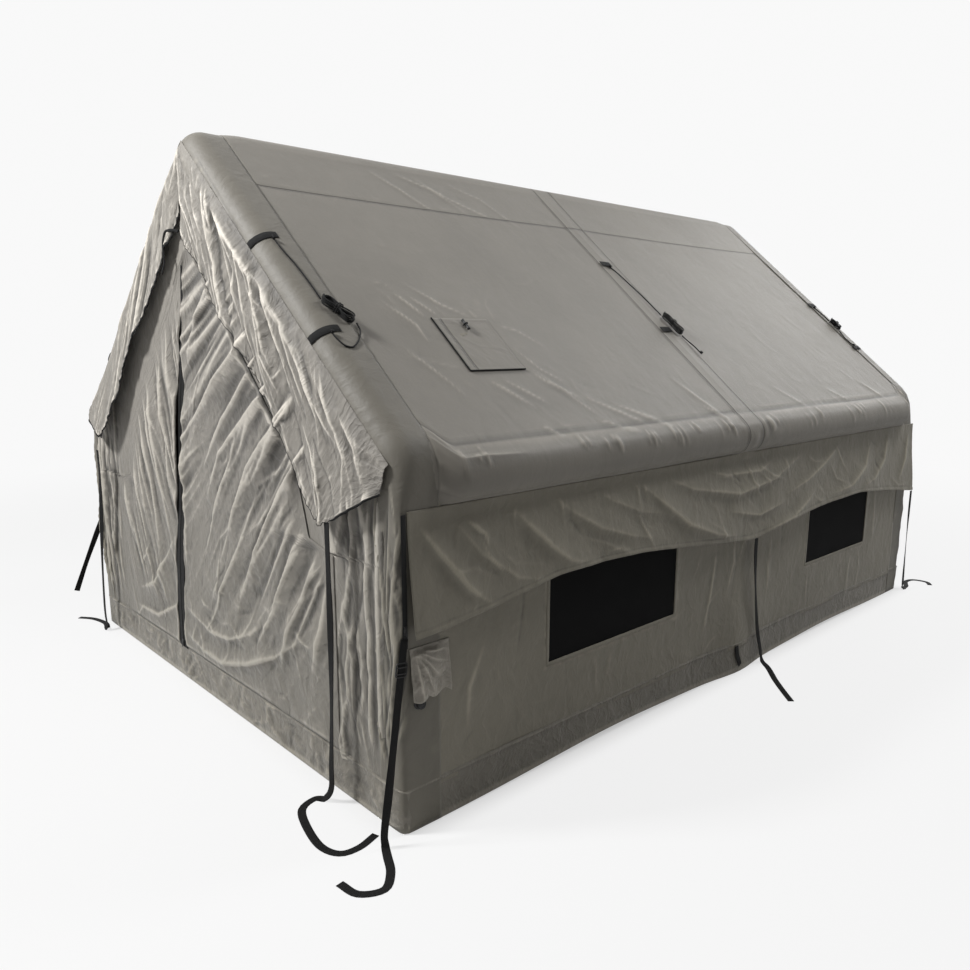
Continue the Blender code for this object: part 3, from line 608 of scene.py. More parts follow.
def net_look(name, color):
    """Insect net: a fine square mesh of dark thread over the dark inside."""
    look = Look(name, Specular_IOR_Level=0.06)
    cells = look.wave(look.uv, 90.0, "X") * look.wave(look.uv, 90.0, "Y")
    soft = look.noise(look.place, 6.0, 3.0)
    look.feed("Base Color", look.mixed(cells, tinted(color, 1.5), tinted(color, 0.5)))
    look.feed("Roughness", 0.75 + soft * 0.1)
    look.bump(cells + soft * 0.5, 0.0008)
    return look.made


def zip_look(name, color):
    """Zip: ribbed tape on both sides and a row of fine coil teeth along the middle."""
    look = Look(name, Specular_IOR_Level=0.25)
    teeth = look.wave(look.uv, 90.0, "Y")
    ribs = look.wave(look.uv, 260.0, "X")
    coil = 1 - abs(look.parts(look.uv)[0] - 0.5).over(0.16, 0.03)
    look.feed("Base Color", look.mixed(coil * teeth, color, tinted(color, 2.4)))
    look.feed("Roughness", 0.7 - coil * 0.3)
    look.bump(coil * teeth * 1.5 + ribs * 0.3, 0.0009)
    return look.made


LOOKS = {}


class TentColours(bpy.types.PropertyGroup):
    """Colours that a user would change"""
    cloth: bpy.props.FloatVectorProperty(name="Cloth", description="Colour of all the tent cloth", subtype="COLOR",
                                         default=(0.188, 0.1735, 0.1480), min=0, max=1)
    webbing: bpy.props.FloatVectorProperty(name="Webbing", description="Colour of straps, tabs and piping",
                                           subtype="COLOR", default=(0.0062, 0.0062, 0.0062), min=0, max=1)
    net: bpy.props.FloatVectorProperty(name="Net", description="Colour of the window nets", subtype="COLOR",
                                       default=(0.0045, 0.0045, 0.0046), min=0, max=1)
    floor: bpy.props.FloatVectorProperty(name="Floor", description="Colour of the ground", subtype="COLOR",
                                         default=(0.80, 0.80, 0.80), min=0, max=1)


class TentSizes(bpy.types.PropertyGroup):
    """Sizes that a user would change"""
    sag: bpy.props.FloatProperty(name="Roof sag", description="How far the roof panels sink between the tubes",
                                 default=0.014, unit="LENGTH", min=0, max=0.03)
    swag: bpy.props.FloatProperty(name="Side flap drape", description="Depth of the folds in the side flaps",
                                  default=0.016, unit="LENGTH", min=0, max=0.03)
    cord: bpy.props.FloatProperty(name="Cord", description="Thickness of the guy cords", default=0.006,
                                  unit="LENGTH", min=0.003, max=0.01)
    strap: bpy.props.FloatProperty(name="Strap", description="Width of the webbing straps", default=0.030,
                                   unit="LENGTH", min=0.015, max=0.05)


def make_looks(colours):
    """All materials: the cloth's colour made warmer, cooler, darker or brighter for each panel, and the fittings' black
    ones; the darker sleeves and brighter storm flaps are painted shade and painted light.
    """
    cloth = tuple(colours.cloth)
    web = tuple(colours.webbing)
    seams = [(0, edge + aside, reach, (-1, 1.99)) for aside, reach in ((0, 0.0040), (-0.008, 0.0012))
             for edge in BAND_EDGES]
    seams += [(1, TOP_SEAM + aside, reach, (-1.888, 1.888)) for aside, reach in ((-0.004, 0.0032), (0.004, 0.0010))]
    LOOKS["roof"] = cloth_look("roof_canvas", cloth, dark=0.95, rough=0.55, lean=0.6, stretch=2.2, creased=0.07,
                               seams=seams, crease_shade_and_highlight=0.05)
    warm = (cloth[0], cloth[1] * 0.995, cloth[2] * 0.92)
    clear = (cloth[0], cloth[1] * 1.008, cloth[2] * 1.04)
    even = (cloth[0], cloth[1] * 0.998, cloth[2] * 0.97)
    # Painted shade: the sleeves' cloth is made darker than the same cloth elsewhere, with deeper painted shade in its
    # fold valleys.
    LOOKS["sleeve"] = cloth_look("sleeve_canvas_shaded_copy", even, dark=0.72, low=0.97, deep=0.22, rough=0.55, lean=1.57,
                                 stretch=1.8, creased=0.16, crease_shade_and_highlight=0.10)
    LOOKS["wall"] = cloth_look("wall_canvas", warm, lean=0.5, stretch=1.6, creased=0.35, crease_shade_and_highlight=0.18)
    # The end walls' pale and deep set strong painted highlights on fold crests and painted shade in fold valleys.
    LOOKS["gable"] = cloth_look("gable_canvas", clear, dark=1.04, lean=0.35, stretch=2.0, creased=0.55, crease_shade_and_highlight=0.35,
                                pale=2.5, deep=0.26, low=0.78)
    # Painted light: the storm flaps are a brighter copy of the end-wall cloth, with stronger painted highlights on
    # crests and darker painted shade in valleys.
    LOOKS["storm"] = cloth_look("storm_flap_canvas_lit_copy", clear, dark=1.08, lean=0.35, stretch=2.0, creased=0.6, crease_shade_and_highlight=0.45,
                                pale=3.3, deep=0.18)
    LOOKS["flap"] = cloth_look("flap_canvas", warm, lean=-0.5, stretch=1.6, creased=0.35, crease_shade_and_highlight=0.22, deep=0.30)
    LOOKS["pale"] = cloth_look("valve_canvas", cloth, dark=1.45, creased=1.0, crease_shade_and_highlight=0.8)
    LOOKS["floor"] = cloth_look("floor_sheeting", even, dark=0.82, rough=0.55, stretch=1.3, creased=0.6, crease_shade_and_highlight=0.45)
    LOOKS["bladder"] = plastic_look("bladder_film", tinted(cloth, 1.1))
    LOOKS["webbing"] = webbing_look("strap_webbing", web)
    LOOKS["cord"] = cord_look("guy_braid", web)
    LOOKS["plastic"] = plastic_look("black_plastic", web)
    LOOKS["net"] = net_look("insect_net", tuple(colours.net))
    LOOKS["zip"] = zip_look("coil_zip", web)


# Stage

def make_camera():
    """The camera at the photograph's place, turned by its yaw, pitch and roll."""
    yaw, pitch, roll = math.radians(46.3), math.radians(-11.5), math.radians(0.47)
    ahead = Vector((-math.sin(yaw) * math.cos(pitch), math.cos(yaw) * math.cos(pitch), math.sin(pitch)))
    right = ahead.cross(Vector((0, 0, 1))).normalized()
    up = right.cross(ahead)
    turned = math.cos(roll) * right + math.sin(roll) * up
    upright = -math.sin(roll) * right + math.cos(roll) * up
    data = bpy.data.cameras.new("photo_camera")
    data.lens = 30.28
    data.sensor_width = 36
    data.shift_x = -0.0240
    data.shift_y = 0.0155
    camera = bpy.data.objects.new("photo_camera", data)
    camera.matrix_world = Matrix((turned, upright, -ahead)).transposed().to_4x4()
    camera.matrix_world.translation = (3.453, -3.502, 1.661)
    bpy.context.scene.collection.objects.link(camera)
    bpy.context.scene.camera = camera


def make_ground(colours):
    """A pale ground: shaded by the lamps close to the tent, with a rim of painted shade along the tent's foot, and
    fading with distance into the white behind it.
    """
    corners = np.array([[(-40, -40, 0), (40, -40, 0)], [(-40, 40, 0), (40, 40, 0)]], float)
    ground = surface("ground", corners)
    look = Look("ground_paint")
    cloud = look.noise(look.place, 0.8, 3.0)
    tone = look.mixed(cloud, tinted(tuple(colours.floor), 0.98), tuple(colours.floor))
    look.feed("Base Color", tone)
    look.shader.inputs["Roughness"].default_value = 0.9
    ray = look.node("ShaderNodeLightPath", out="Is Camera Ray")
    glow = look.node("ShaderNodeEmission", None, {0: (0.945, 0.945, 0.945, 1), 1: 1.0})
    shade = Value(look, look.shader.outputs[0])
    far = look.node("ShaderNodeVectorMath", {"operation": "LENGTH"}, {0: look.place}, "Value")
    x, y = look.parts(look.place)[:2]
    # Painted shade: within a few centimetres of the tent's foot less of the white glow is shown, so the ground reads
    # darker there whether or not a shadow falls.
    near = 1 - (abs(x) - 1.44).math("MAXIMUM", abs(y) - 2.05).over(0.02, 0.09)
    share = far.over(5.2, 2.6) * 0.13 + 0.87 - near * 0.45
    both = look.node("ShaderNodeMixShader", None, {0: ray * share, 1: shade, 2: glow})
    look.links.new(both.socket, look.nodes["Material Output"].inputs[0])
    ground.data.materials.append(look.made)


def make_world():
    """A white background to the camera and to mirrors, and a dim even light to all other rays."""
    world = bpy.data.worlds.new("studio")
    bpy.context.scene.world = world
    world.use_nodes = True
    world.node_tree.nodes.clear()
    sky = Nodes(world.node_tree)
    path = sky.node("ShaderNodeLightPath", out="Is Camera Ray")
    seen = path.math("MAXIMUM", path.output("Is Glossy Ray")).math("MAXIMUM", path.output("Is Transmission Ray"))
    lit, shown = (sky.node("ShaderNodeBackground", None, {0: color, 1: strength})
                  for color, strength in (((1, 1, 1, 1), 0.105), ((0.945, 0.945, 0.945, 1), 1.0)))
    sky.node("ShaderNodeOutputWorld", None, {0: sky.node("ShaderNodeMixShader", None, {0: seen, 1: lit, 2: shown})})


def make_lamps():
    """Three soft boxes, each a square lamp that looks at its aim."""
    lamps = (
        ("side_softbox", (2.9, 2.6, 6.2), (0.9, 0.2, 1.0), 1.6, 168),
        ("front_softbox", (-0.9, -5.0, 4.9), (0.4, -2.0, 1.4), 0.8, 365),
        ("rear_softbox", (0.2, 7.6, 4.4), (0.9, 1.2, 1.8), 4.0, 175),
    )
    for name, place, aim, size, power in lamps:
        data = bpy.data.lights.new(name, "AREA")
        data.energy = power
        data.size = size
        lamp = bpy.data.objects.new(name, data)
        lamp.location = place
        lamp.rotation_euler = (Vector(aim) - Vector(place)).to_track_quat("-Z", "Y").to_euler()
        bpy.context.scene.collection.objects.link(lamp)


def make_stage(colours):
    """Camera, ground, world and lamps, with colours shown as they are written."""
    make_camera()
    make_ground(colours)
    make_world()
    make_lamps()
    bpy.context.scene.view_settings.view_transform = "Standard"


# Cords and straps

CORD_D = 0.006
HANK_LOOPS = 4
HANK_POINTS = 32
HANK_PITCH = 0.0066
HANK_HALF_WIDTH = 0.020
GUYS = {
    "front": (((0.6922, -1.975), (0.760, -1.970), (0.858, -1.955), (0.960, -1.948), (1.046, -1.9463)),
              (1.114, -1.914, 27.6, 0.066),
              ((1.176, -1.866), (1.215, -1.872), (1.262, -1.902), (1.300, -1.945), (1.290, -1.975),
               (1.255, -1.988), (1.2200, -1.990))),
    "middle": (((0.6732, -0.030), (0.7216, -0.012), (0.850, 0.010), (0.960, 0.024), (1.0685, 0.0315)),
               (1.149, 0.040, 4.0, 0.071),
               ((1.2283, 0.0482), (1.262, 0.054), (1.310, 0.068), (1.367, 0.072))),
    "rear": (((0.9232, 1.906), (0.975, 1.921), (1.030, 1.926), (1.0640, 1.927)),
             (1.114, 1.925, 0.0, 0.043),
             ((1.1650, 1.923), (1.200, 1.906), (1.240, 1.890), (1.285, 1.893), (1.3155, 1.902))),
}


FRONT_TABS = {"right": (0.6735, 1.2006), "left": (0.578, 1.374)}
ROOF_TABS = (("middle", (0.654, 1.181), (-0.078, -0.002)), ("rear", (0.904, 1.335), (1.868, 1.952)))


def roof_height(y):
    """Height of the roof's tube over its axis, lower past the end arches: a circle's height at that distance."""
    past = np.maximum(0, np.abs(y) - ARCH_Y - 4 * CORD_D)
    return np.sqrt(SKIN_R ** 2 - past ** 2)


def loop_point(share, half_length):
    """Places on a long loop with round ends, by share of the way round from the middle of the near end."""
    bend = HANK_HALF_WIDTH
    straight = 2 * (half_length - bend)
    quarter = math.pi * bend / 2
    travel = np.minimum(share, 1 - share) * (2 * straight + 4 * quarter)
    near = travel < quarter
    last = travel >= quarter + straight
    angle = np.where(near, travel, travel - quarter - straight) / bend
    x = np.where(near, bend - half_length - bend * np.cos(angle),
                 np.where(last, half_length - bend + bend * np.sin(angle), bend - half_length + travel - quarter))
    y = np.where(near, bend * np.sin(angle), np.where(last, bend * np.cos(angle), bend))
    return x, np.copysign(y, 0.5 - share)


def hank_points(spec):
    """Flat long loops stacked on each other, each a full pitch above the last."""
    s, y, turn_deg, half_length = spec
    step = np.arange(HANK_LOOPS * HANK_POINTS + 1)
    x, w = loop_point(step % HANK_POINTS / HANK_POINTS, half_length)
    w = w * (1 - 0.5 * hump(x, 0, half_length * 0.4))
    x = x + 0.0045 * ripple(step / 7.0, 0, 1.0, 41)
    w = w + 0.0035 * ripple(step / 5.0, 0, 1.0, 42)
    turn = math.radians(turn_deg)
    along = s + x * math.cos(turn) - w * math.sin(turn)
    over = y + x * math.sin(turn) + w * math.cos(turn)
    rise = SKIN_R + GAP + CORD_D / 2 + HANK_PITCH * step / HANK_POINTS
    return on_roof(along, over, rise)


def make_cords(sizes):
    """Stowed guy cords: a run to each hank, the hank's stacked loops, and the tail to the lower tab."""
    for place, (run, hank, tail) in GUYS.items():
        coil = hank_points(hank)
        lines = {}
        for part, route in (("run", run), ("tail", tail)):
            route = np.asarray(route)
            high = roof_height(route[:, 1]) + GAP + CORD_D / 2
            lines[part] = on_roof(*smooth_route(np.column_stack([route, high]), 0.012).T)
        lines["hank"] = coil
        for part, line in lines.items():
            cord = sweep(f"{place}_cord_{part}", line, circle(sizes.cord / 2, 10))
            finish(cord, "cord", node=f"{place}_guy_{part}")
            "coiled" if part == "hank" else "loose"


def knot(name, place, way, lift):
    """A small knot: cord wound two and a half times round the line at a place."""
    way = np.asarray(way, float) / np.linalg.norm(way)
    lift = np.asarray(lift, float)
    side = np.cross(way, lift)
    angle = np.linspace(0, 5 * np.pi, 60)[:, None]
    line = place + lift * 0.0042 + way * (angle / (5 * np.pi) - 0.5) * 0.012
    line = line + 0.0048 * (np.cos(angle) * lift + np.sin(angle) * side)
    finish(sweep(name, line, circle(0.0026, 8)), "cord")


def make_knots():
    """Knots at both tabs of each guy cord, and the tie round the middle of each hank."""
    lift = on_roof(0, 0, 1) - on_roof(0, 0, 0)
    for place, (run, hank, tail) in GUYS.items():
        for label, (a, b) in (("upper", run[:2]), ("lower", tail[:-3:-1])):
            high = float(roof_height(np.array(a[1]))) + GAP + CORD_D / 2
            start, end = on_roof(a[0], a[1], high), on_roof(b[0], b[1], high)
            knot(f"{place}_{label}_knot", start + (end - start) * 0.12, end - start, lift)
        s, y, turn_deg = hank[:3]
        turn = math.radians(turn_deg)
        for label, shift in (("first", -0.005), ("second", 0.004)):
            angle = np.linspace(-0.15 * np.pi, 1.15 * np.pi, 40)
            w = 0.0190 * np.cos(angle)
            n = SKIN_R + 0.0150 + 0.0215 * np.sin(angle)
            n = np.maximum(n, SKIN_R + 0.0030)
            x = shift + 0.001 * np.sin(2 * angle)
            line = on_roof(s + x * math.cos(turn) - w * math.sin(turn), y + x * math.sin(turn) + w * math.cos(turn), n)
            finish(sweep(f"{place}_hank_tie_{label}", line, circle(0.0024, 8)), "cord")


# Roof

def arc(centre, radius, start, end, count):
    """Points on a circle from one angle to another."""
    angle = np.linspace(start, end, count)
    return placed(centre[0] + radius * np.cos(angle), centre[1] + radius * np.sin(angle))


def joined(pieces, counts):
    """Runs of (X, Z) points put end to end, each evenly spaced again with its own count."""
    made = []
    for piece, count in zip(pieces, counts):
        made.append(evenly(piece, count)[0])
    return np.concatenate(made + [pieces[-1][-1:]])


BEND = 0.10
RIDGE_BEND = 0.03
HEM_Z = 1.1154
BEND_MID = (LEG_X - BEND, EAVE_Z + (EAVE_X - LEG_X) * math.tan(SLOPE) - BEND * math.tan(NORMAL / 2))
RIDGE_MID = (0, RIDGE_Z - RIDGE_BEND / math.cos(SLOPE))


def arch_half(off, foot, counts):
    """Right half of an arch's outline at that distance outside its centre line: leg, bend, rafter, ridge bend."""
    bend = arc(BEND_MID, BEND + off, 0, NORMAL, 24)
    top = arc(RIDGE_MID, RIDGE_BEND + off, NORMAL, math.pi / 2, 14)
    leg = np.concatenate([[(LEG_X + off, foot)], bend])
    return joined([leg, np.array([bend[-1], top[0]]), top], counts)


def roll_half(counts):
    """Right half of the roof between the arches: round the eave roll, up the slope and over the ridge tube."""
    eave = arc((EAVE_X, EAVE_Z), SKIN_R, math.radians(-70), NORMAL, 30)
    top = arc((0, RIDGE_Z), SKIN_R, NORMAL, math.pi / 2, 14)
    return joined([eave, np.array([eave[-1], top[0]]), top], counts)


def cover_gap(s, y):
    """Distance from the stove opening's cover, 0 inside it."""
    return np.hypot(outside(s, *JACK_S), outside(y, *JACK_Y))


def cord_room(s, y):
    """How far a place on the roof is from the nearest cord or tab."""
    least = np.full(np.broadcast(s, y).shape, 1.0)
    for run, hank, tail in GUYS.values():
        turn = math.radians(hank[2])
        reach = np.array([math.cos(turn), math.sin(turn)]) * hank[3]
        middle = np.array(hank[:2])
        for route in (run, tail, (middle - reach, middle + reach)):
            route = np.asarray(route, float)
            wide = 0.022 if len(route) == 2 else 0.0
            for start, end in zip(route, route[1:]):
                step = end - start
                t = np.clip(((s - start[0]) * step[0] + (y - start[1]) * step[1]) / (step @ step), 0, 1)
                least = np.minimum(least, np.hypot(s - start[0] - t * step[0], y - start[1] - t * step[1]) - wide)
    for _, spots, span in ROOF_TABS:
        for spot in spots:
            least = np.minimum(least, np.hypot(np.abs(s - spot) - 0.018, outside(y, *span)))
    return np.maximum(least, 0)


ROOF_CREASES = (
    ([(-1.454, 1.479), (-1.315, 1.642)], 0.012, 0.0055),
    ([(-1.383, 1.482), (-1.227, 1.63)], 0.010, 0.005),
    ([(-0.891, 1.635), (-0.595, 1.831)], 0.013, 0.006),
    ([(-1.024, 1.584), (-0.758, 1.793)], 0.012, 0.0055),
    ([(-0.337, 1.50), (-0.26, 1.68), (-0.168, 1.852)], 0.013, 0.006),
    ([(-1.058, 1.723), (-0.838, 1.826)], 0.010, 0.005),
    ([(-0.32, 1.676), (-0.17, 1.829)], 0.009, 0.004),
    ([(-1.365, 1.732), (-1.283, 1.796)], 0.010, 0.005),
    ([(-1.93, 1.842), (-1.70, 1.84), (-1.51, 1.849)], 0.010, 0.005),
    ([(-1.876, 1.779), (-1.80, 1.834)], 0.009, 0.005),
    ([(-1.26, 0.04), (-1.113, 0.201), (-0.983, 0.372)], 0.011, 0.004),
    ([(-1.119, 0.041), (-0.91, 0.157), (-0.773, 0.336)], 0.012, 0.0045),
    ([(-1.016, 0.032), (-0.827, 0.223), (-0.593, 0.363)], 0.010, 0.004),
    ([(-0.838, 0.04), (-0.601, 0.178), (-0.446, 0.448)], 0.010, 0.003),
    ([(-1.60, 0.964), (-1.53, 1.128)], 0.008, 0.005),
    ([(-1.682, 1.028), (-1.603, 1.17), (-1.601, 1.283)], 0.009, 0.005),
    ([(-1.514, 0.896), (-1.405, 1.045), (-1.298, 1.121)], 0.009, 0.0045),
    ([(-1.205, 1.44), (-1.164, 1.504), (-1.022, 1.617)], 0.009, 0.006),
    ([(-1.20, 1.30), (-1.139, 1.435), (-1.038, 1.528)], 0.008, 0.004),
    ([(-1.737, 1.282), (-1.655, 1.444), (-1.602, 1.576)], 0.010, 0.004),
    ([(-1.54, 0.99), (-1.46, 1.12)], 0.008, 0.0045),
    ([(-1.20, 1.16), (-1.09, 1.20), (-0.98, 1.31)], 0.010, 0.003),
    ([(-1.20, 1.40), (-1.08, 1.60), (-0.99, 1.75)], 0.009, 0.0045),
    ([(0.45, 1.60), (0.62, 1.80)], 0.012, 0.004),
    ([(0.95, 1.62), (1.15, 1.80)], 0.012, 0.004),
    ([(1.45, 1.60), (1.60, 1.80)], 0.012, 0.004),
)


ROOF_STROKES = (
    (30, 12, (-1.85, 0.05, 1.85, 0.42), (0.5, 0.5), (0.10, 0.32), 0.008, 0.0013),
    (30, 13, (-1.8, 1.45, 1.8, 1.75), (1.05, 0.35), (0.10, 0.30), 0.009, 0.0022),
    (26, 14, (-1.75, 0.95, -0.95, 1.72), (0.9, 0.6), (0.10, 0.34), 0.008, 0.0018),
    (26, 15, (-1.8, 0.3, 1.8, 1.7), (0.6, 0.8), (0.2, 0.5), 0.012, 0.0013),
)
EAVE_PLEATS = ((-1.76, 0.05, 3), (-1.13, 0.12, 7), (-0.80, 0.04, 4), (-0.63, 0.05, 5), (-0.50, 0.03, 3),
               (-0.28, 0.09, 7), (0.14, 0.06, 5), (0.60, 0.10, 4), (1.10, 0.12, 5), (1.55, 0.10, 4), (1.845, 0.035, 4))


def roof_height_map(s, y, sizes, seed):
    """Height of the roof cloth over its plain shape, by distance down the slope and place along the tent."""
    s, y = np.broadcast_arrays(s, y)
    bay = np.where(y < MID_Y, (y + ARCH_Y) / (ARCH_Y + MID_Y), (ARCH_Y - y) / (ARCH_Y - MID_Y))
    bay = np.clip(bay, 0, 1)
    tight = np.sin(np.pi * bay) ** 0.55
    deep = np.sin(np.pi * np.clip((s - 0.03) / (SLOPE_LEN - 0.10), 0, 1)) ** 0.6
    flat = ramp(s, 0.02, 0.10)
    h = -sizes.sag * tight * deep * (1 - np.exp(-(cover_gap(s, y) / 0.20) ** 2))
    band = between(y, BAND_EDGES[0] - 0.006, BAND_EDGES[1] + 0.006, 0.006)
    h -= 0.0028 * (1 - band) * np.exp(-np.abs(y - MID_Y) / 0.5) * flat
    for edge in BAND_EDGES:
        h -= 0.0010 * hump(y, edge, 0.0028)
    h += 0.0014 * (1 - ramp(s, TOP_SEAM - 0.009, TOP_SEAM - 0.004)) - 0.0012 * hump(s, TOP_SEAM, 0.004)
    gather = ripple(y, 0, 0.055, seed) + 0.6 * ripple(y, 0, 0.023, seed + 1)
    h += 0.0007 * gather * hump(s, 0.350, 0.030) * (0.5 + 0.5 * ripple(y, s, 0.4, seed + 2))
    wavy = 0.008 * ripple(y, 0, 0.35, seed + 4)
    crease = 1.772 + wavy
    h -= (0.0065 + 0.002 * ripple(y, s, 0.2, seed + 5)) * hump(s, crease, 0.010) * (0.4 + 0.6 * tight)
    h += 0.0010 * hump(s, crease + 0.045, 0.03)
    some = ramp(ripple(y, 0, 0.22, seed + 6), 0.1, 0.7)
    h += 0.0020 * gather * hump(s, crease - 0.012, 0.035) * (0.15 + 0.85 * some)
    low = ramp(s, crease + 0.02, crease + 0.10)
    h += low * (0.0006 * gather + 0.002 * ripple(y, s, 0.20, seed + 8)) * (0.4 + 0.6 * tight)
    rng = np.random.default_rng(seed + 20)
    short = []
    for middle, reach, count in EAVE_PLEATS:
        for _ in range(count):
            at, top = middle + rng.uniform(-reach, reach), 1.79 + rng.uniform(0, 0.03)
            sway, end = rng.uniform(-0.015, 0.03), 1.86 + rng.uniform(0, 0.07)
            short.append(([(at, top), (at + sway / 2, (top + end) / 2), (at + sway, end)], 0.0065,
                          0.0060 * rng.uniform(0.5, 1.2)))
    h += folds(y, s, short, 1.3, 1.3)
    h -= 0.0012 * hump(s, SLOPE_LEN + 0.152, 0.004)
    h += 0.003 * hump(y, MID_Y, 0.22) * low * ripple(y, s, 0.045, seed + 9)
    h -= 0.0012 * hump(np.abs(y), END_SEAM, 0.0035)
    edge = np.exp(-np.abs(np.abs(y) - 1.88) / 0.05) * flat
    h += 0.0014 * ripple(s, y, 0.05, seed + 10) * edge * ramp(ripple(s, y, 0.5, seed + 11), -0.2, 0.4)
    drawn = np.exp(-np.abs(np.abs(y) - 1.875) / 0.035) * ramp(s, SLOPE_LEN - 0.02, SLOPE_LEN + 0.03)
    h += 0.0030 * ripple(s, 0, 0.020, seed + 17) * drawn * ramp(END_SEAM - np.abs(y), 0, 0.006)
    soft = flat * (1 - 0.7 * band) * ramp(np.abs(np.abs(y) - ARCH_Y), 0.05, 0.10) * ramp(cover_gap(s, y), 0.0, 0.02)
    if seed < 200:
        h += soft * folds(y, s, ROOF_CREASES, 1.35, 1.3)
    for count, shift, *rest in ROOF_STROKES:
        h += soft * strokes(y, s, count, seed + shift, *rest)
    h += soft * 0.00035 * crumple(y, s, 0.10, seed + 16)
    top = 0.0002 + 0.3 * np.maximum(cord_room(s, y) - 0.010, 0) if seed < 200 else 0.01
    return np.minimum(h, np.minimum(top, 0.0002 + 0.3 * cover_gap(s, y)))


def make_roof(sizes):
    """The roof skin: the slope, roll and ridge run along the tent, drawn in to the arch outline at both ends.

    It is made in four parts that meet at the ridge and at the rear seam of the middle band.
    """
    counts = (40, 120, 8)
    roll, arch = roll_half(counts), arch_half(SKIN_R, HEM_Z, counts)
    gone = travelled(roll)
    s = SLOPE_LEN + (math.radians(70) + NORMAL) * SKIN_R - gone
    near, meet = PANEL_END - 0.045, 0.0455
    bays = (("front", spread((-ARCH_Y, -PANEL_END, 5), (-PANEL_END, -near, 14), (-near, -0.12, 160),
                             (-0.12, meet, 34))),
            ("rear", spread((meet, near, 112), (near, PANEL_END, 10), (PANEL_END, ARCH_Y, 4))))
    for bay, y in bays:
        free = ramp(ARCH_Y - np.abs(y), 0.048, 0.155)[None, :]
        for side, label, seed in ((1, "right", 11), (-1, "left", 211)):
            x = arch[:, :1] + (roll[:, :1] - arch[:, :1]) * free
            z = arch[:, 1:] + (roll[:, 1:] - arch[:, 1:]) * free
            height = np.minimum(roof_height_map(s[:, None], y[None, :], sizes, seed), 0.08 * gone[:, None])
            height = height - 0.002 * ramp(np.abs(y), END_SEAM - 0.002, END_SEAM + 0.002)[None, :]
            points = raised(placed(x, y, z), height) * (side, 1, 1)
            points[-1, :, 0] = 0.0
            uv = placed(y[None, :], s[:, None])
            if side < 0:
                points, uv, height = points[::-1], uv[::-1], height[::-1]
            part = surface(f"{bay}_{label}_roof_skin", points, uv=uv, relief=(height, 0.0080))
            finish(part, "roof", thick=SHEET, node="roof_cover" if (bay, side) == ("front", 1) else None)


def arch_line(counts):
    """Centre line of an arch with its outward directions, from the right foot over the ridge to the left foot."""
    right = arch_half(0.0, 0.004, counts)
    path = np.concatenate([right, right[-2::-1] * (-1, 1)])
    way = np.gradient(path, axis=0)
    way /= np.linalg.norm(way, axis=1, keepdims=True)
    return path, placed(way[:, 1], -way[:, 0])


def make_sleeves():
    """End sleeves: a quarter tube over each end arch from the roof round to the end wall, squarer down the legs."""
    for name, end, seed, counts in (("front_sleeve", -1, 31, (64, 120, 8)), ("rear_sleeve", 1, 61, (40, 80, 8))):
        path, out = arch_line(counts)
        gone = travelled(path)
        upper = ramp(path[:, 1], 1.02, 1.24)
        turn = np.radians(spread((-24, 0, 6), (0, 90, 30)))
        power = 2 + 5 * (1 - upper)[:, None]
        swell = (np.abs(np.cos(turn)) ** power + np.abs(np.sin(turn)) ** power) ** (-1 / power)
        a = (SKIN_R + 0.0004) * swell * np.sin(turn)
        b = (SKIN_R + 0.0004) * swell * np.cos(turn)
        lap = np.linspace(0, 0.070, 8)[1:]
        a = np.concatenate([a, np.full((len(path), 7), SKIN_R + 0.0004)], axis=1)
        b = np.concatenate([b, np.broadcast_to(-lap, (len(path), 7))], axis=1)
        x = path[:, :1] + out[:, :1] * a
        z = path[:, 1:] + out[:, 1:] * a
        points = placed(x, end * (ARCH_Y + b), z)
        u = np.broadcast_to(gone[:, None], a.shape)
        v = np.concatenate([turn * SKIN_R, math.pi / 2 * SKIN_R + lap])[None, :] + u * 0
        mirror = np.abs(gone[-1] / 2 - u) / (gone[-1] / 2)
        rafter = ramp(mirror, 0.02, 0.06) * upper[:, None]
        seam = SKIN_R * np.radians(33 - 49 * np.clip((mirror - 0.02) / 0.62, 0, 1))
        pucker = ripple(u, 0, 0.042, seed) + 0.7 * ripple(u, 0, 0.019, seed + 1)
        h = 0.0024 * pucker * hump(v, seam - 0.014, 0.020) * rafter
        h -= 0.0012 * hump(v, seam, 0.003) * rafter
        h += 0.0010 * (1 - ramp(v, seam - 0.002, seam + 0.002)) * rafter
        h += 0.0006 * ripple(u, v, 0.16, seed + 2) + 0.00015 * crumple(u, v, 0.05, seed + 3)
        leg = (1 - upper)[:, None]
        ways, pleat = (u, gone[-1] - u), 0
        for way, shift in zip(ways, (4, 5)):
            pleat = pleat + strokes(v, way, 14, seed + shift, (0.0, 0.25, 0.10, 1.1), (1.57, 0.06), (0.25, 0.8), 0.009,
                                    0.012, 1.2, 1.4)
        for way in ways:
            pleat += strokes(v, way, 34, seed + 7, (-0.035, 0.25, 0.075, 1.15), (1.57, 0.05), (0.3, 0.9), 0.0050,
                             0.0120, 1.15, 1.8)
        h += leg * pleat * ramp(u, 0.16, 0.3) * ramp(gone[-1] - u, 0.16, 0.3) * ramp(0.090 - v, 0.0, 0.022)
        h += 0.0009 * ripple(u, v, 0.05, seed + 6) * hump(v, 0.19, 0.03)
        down = gone[-1] / 2 - u
        far = end * (ARCH_Y + b)
        room = cord_room(np.where(down > 0, down, -9.0), far)
        taken = FRONT_TABS["right"] + tuple(-spot for spot in FRONT_TABS["left"]) if end < 0 else ()
        for spot in taken:
            room = np.minimum(room, np.maximum(np.abs(down - spot) - 0.020, 0))
        h = np.where(upper[:, None] > 0.5, np.minimum(h, -0.0003 + 0.25 * np.maximum(room - 0.008, 0)), h)
        uv = placed(u, v)
        if end > 0:
            points, h, uv = points[:, ::-1], h[:, ::-1], uv[:, ::-1]
        finish(surface(name, raised(points, h), uv=uv, relief=(h, 0.0055)), "sleeve", thick=0.0010)


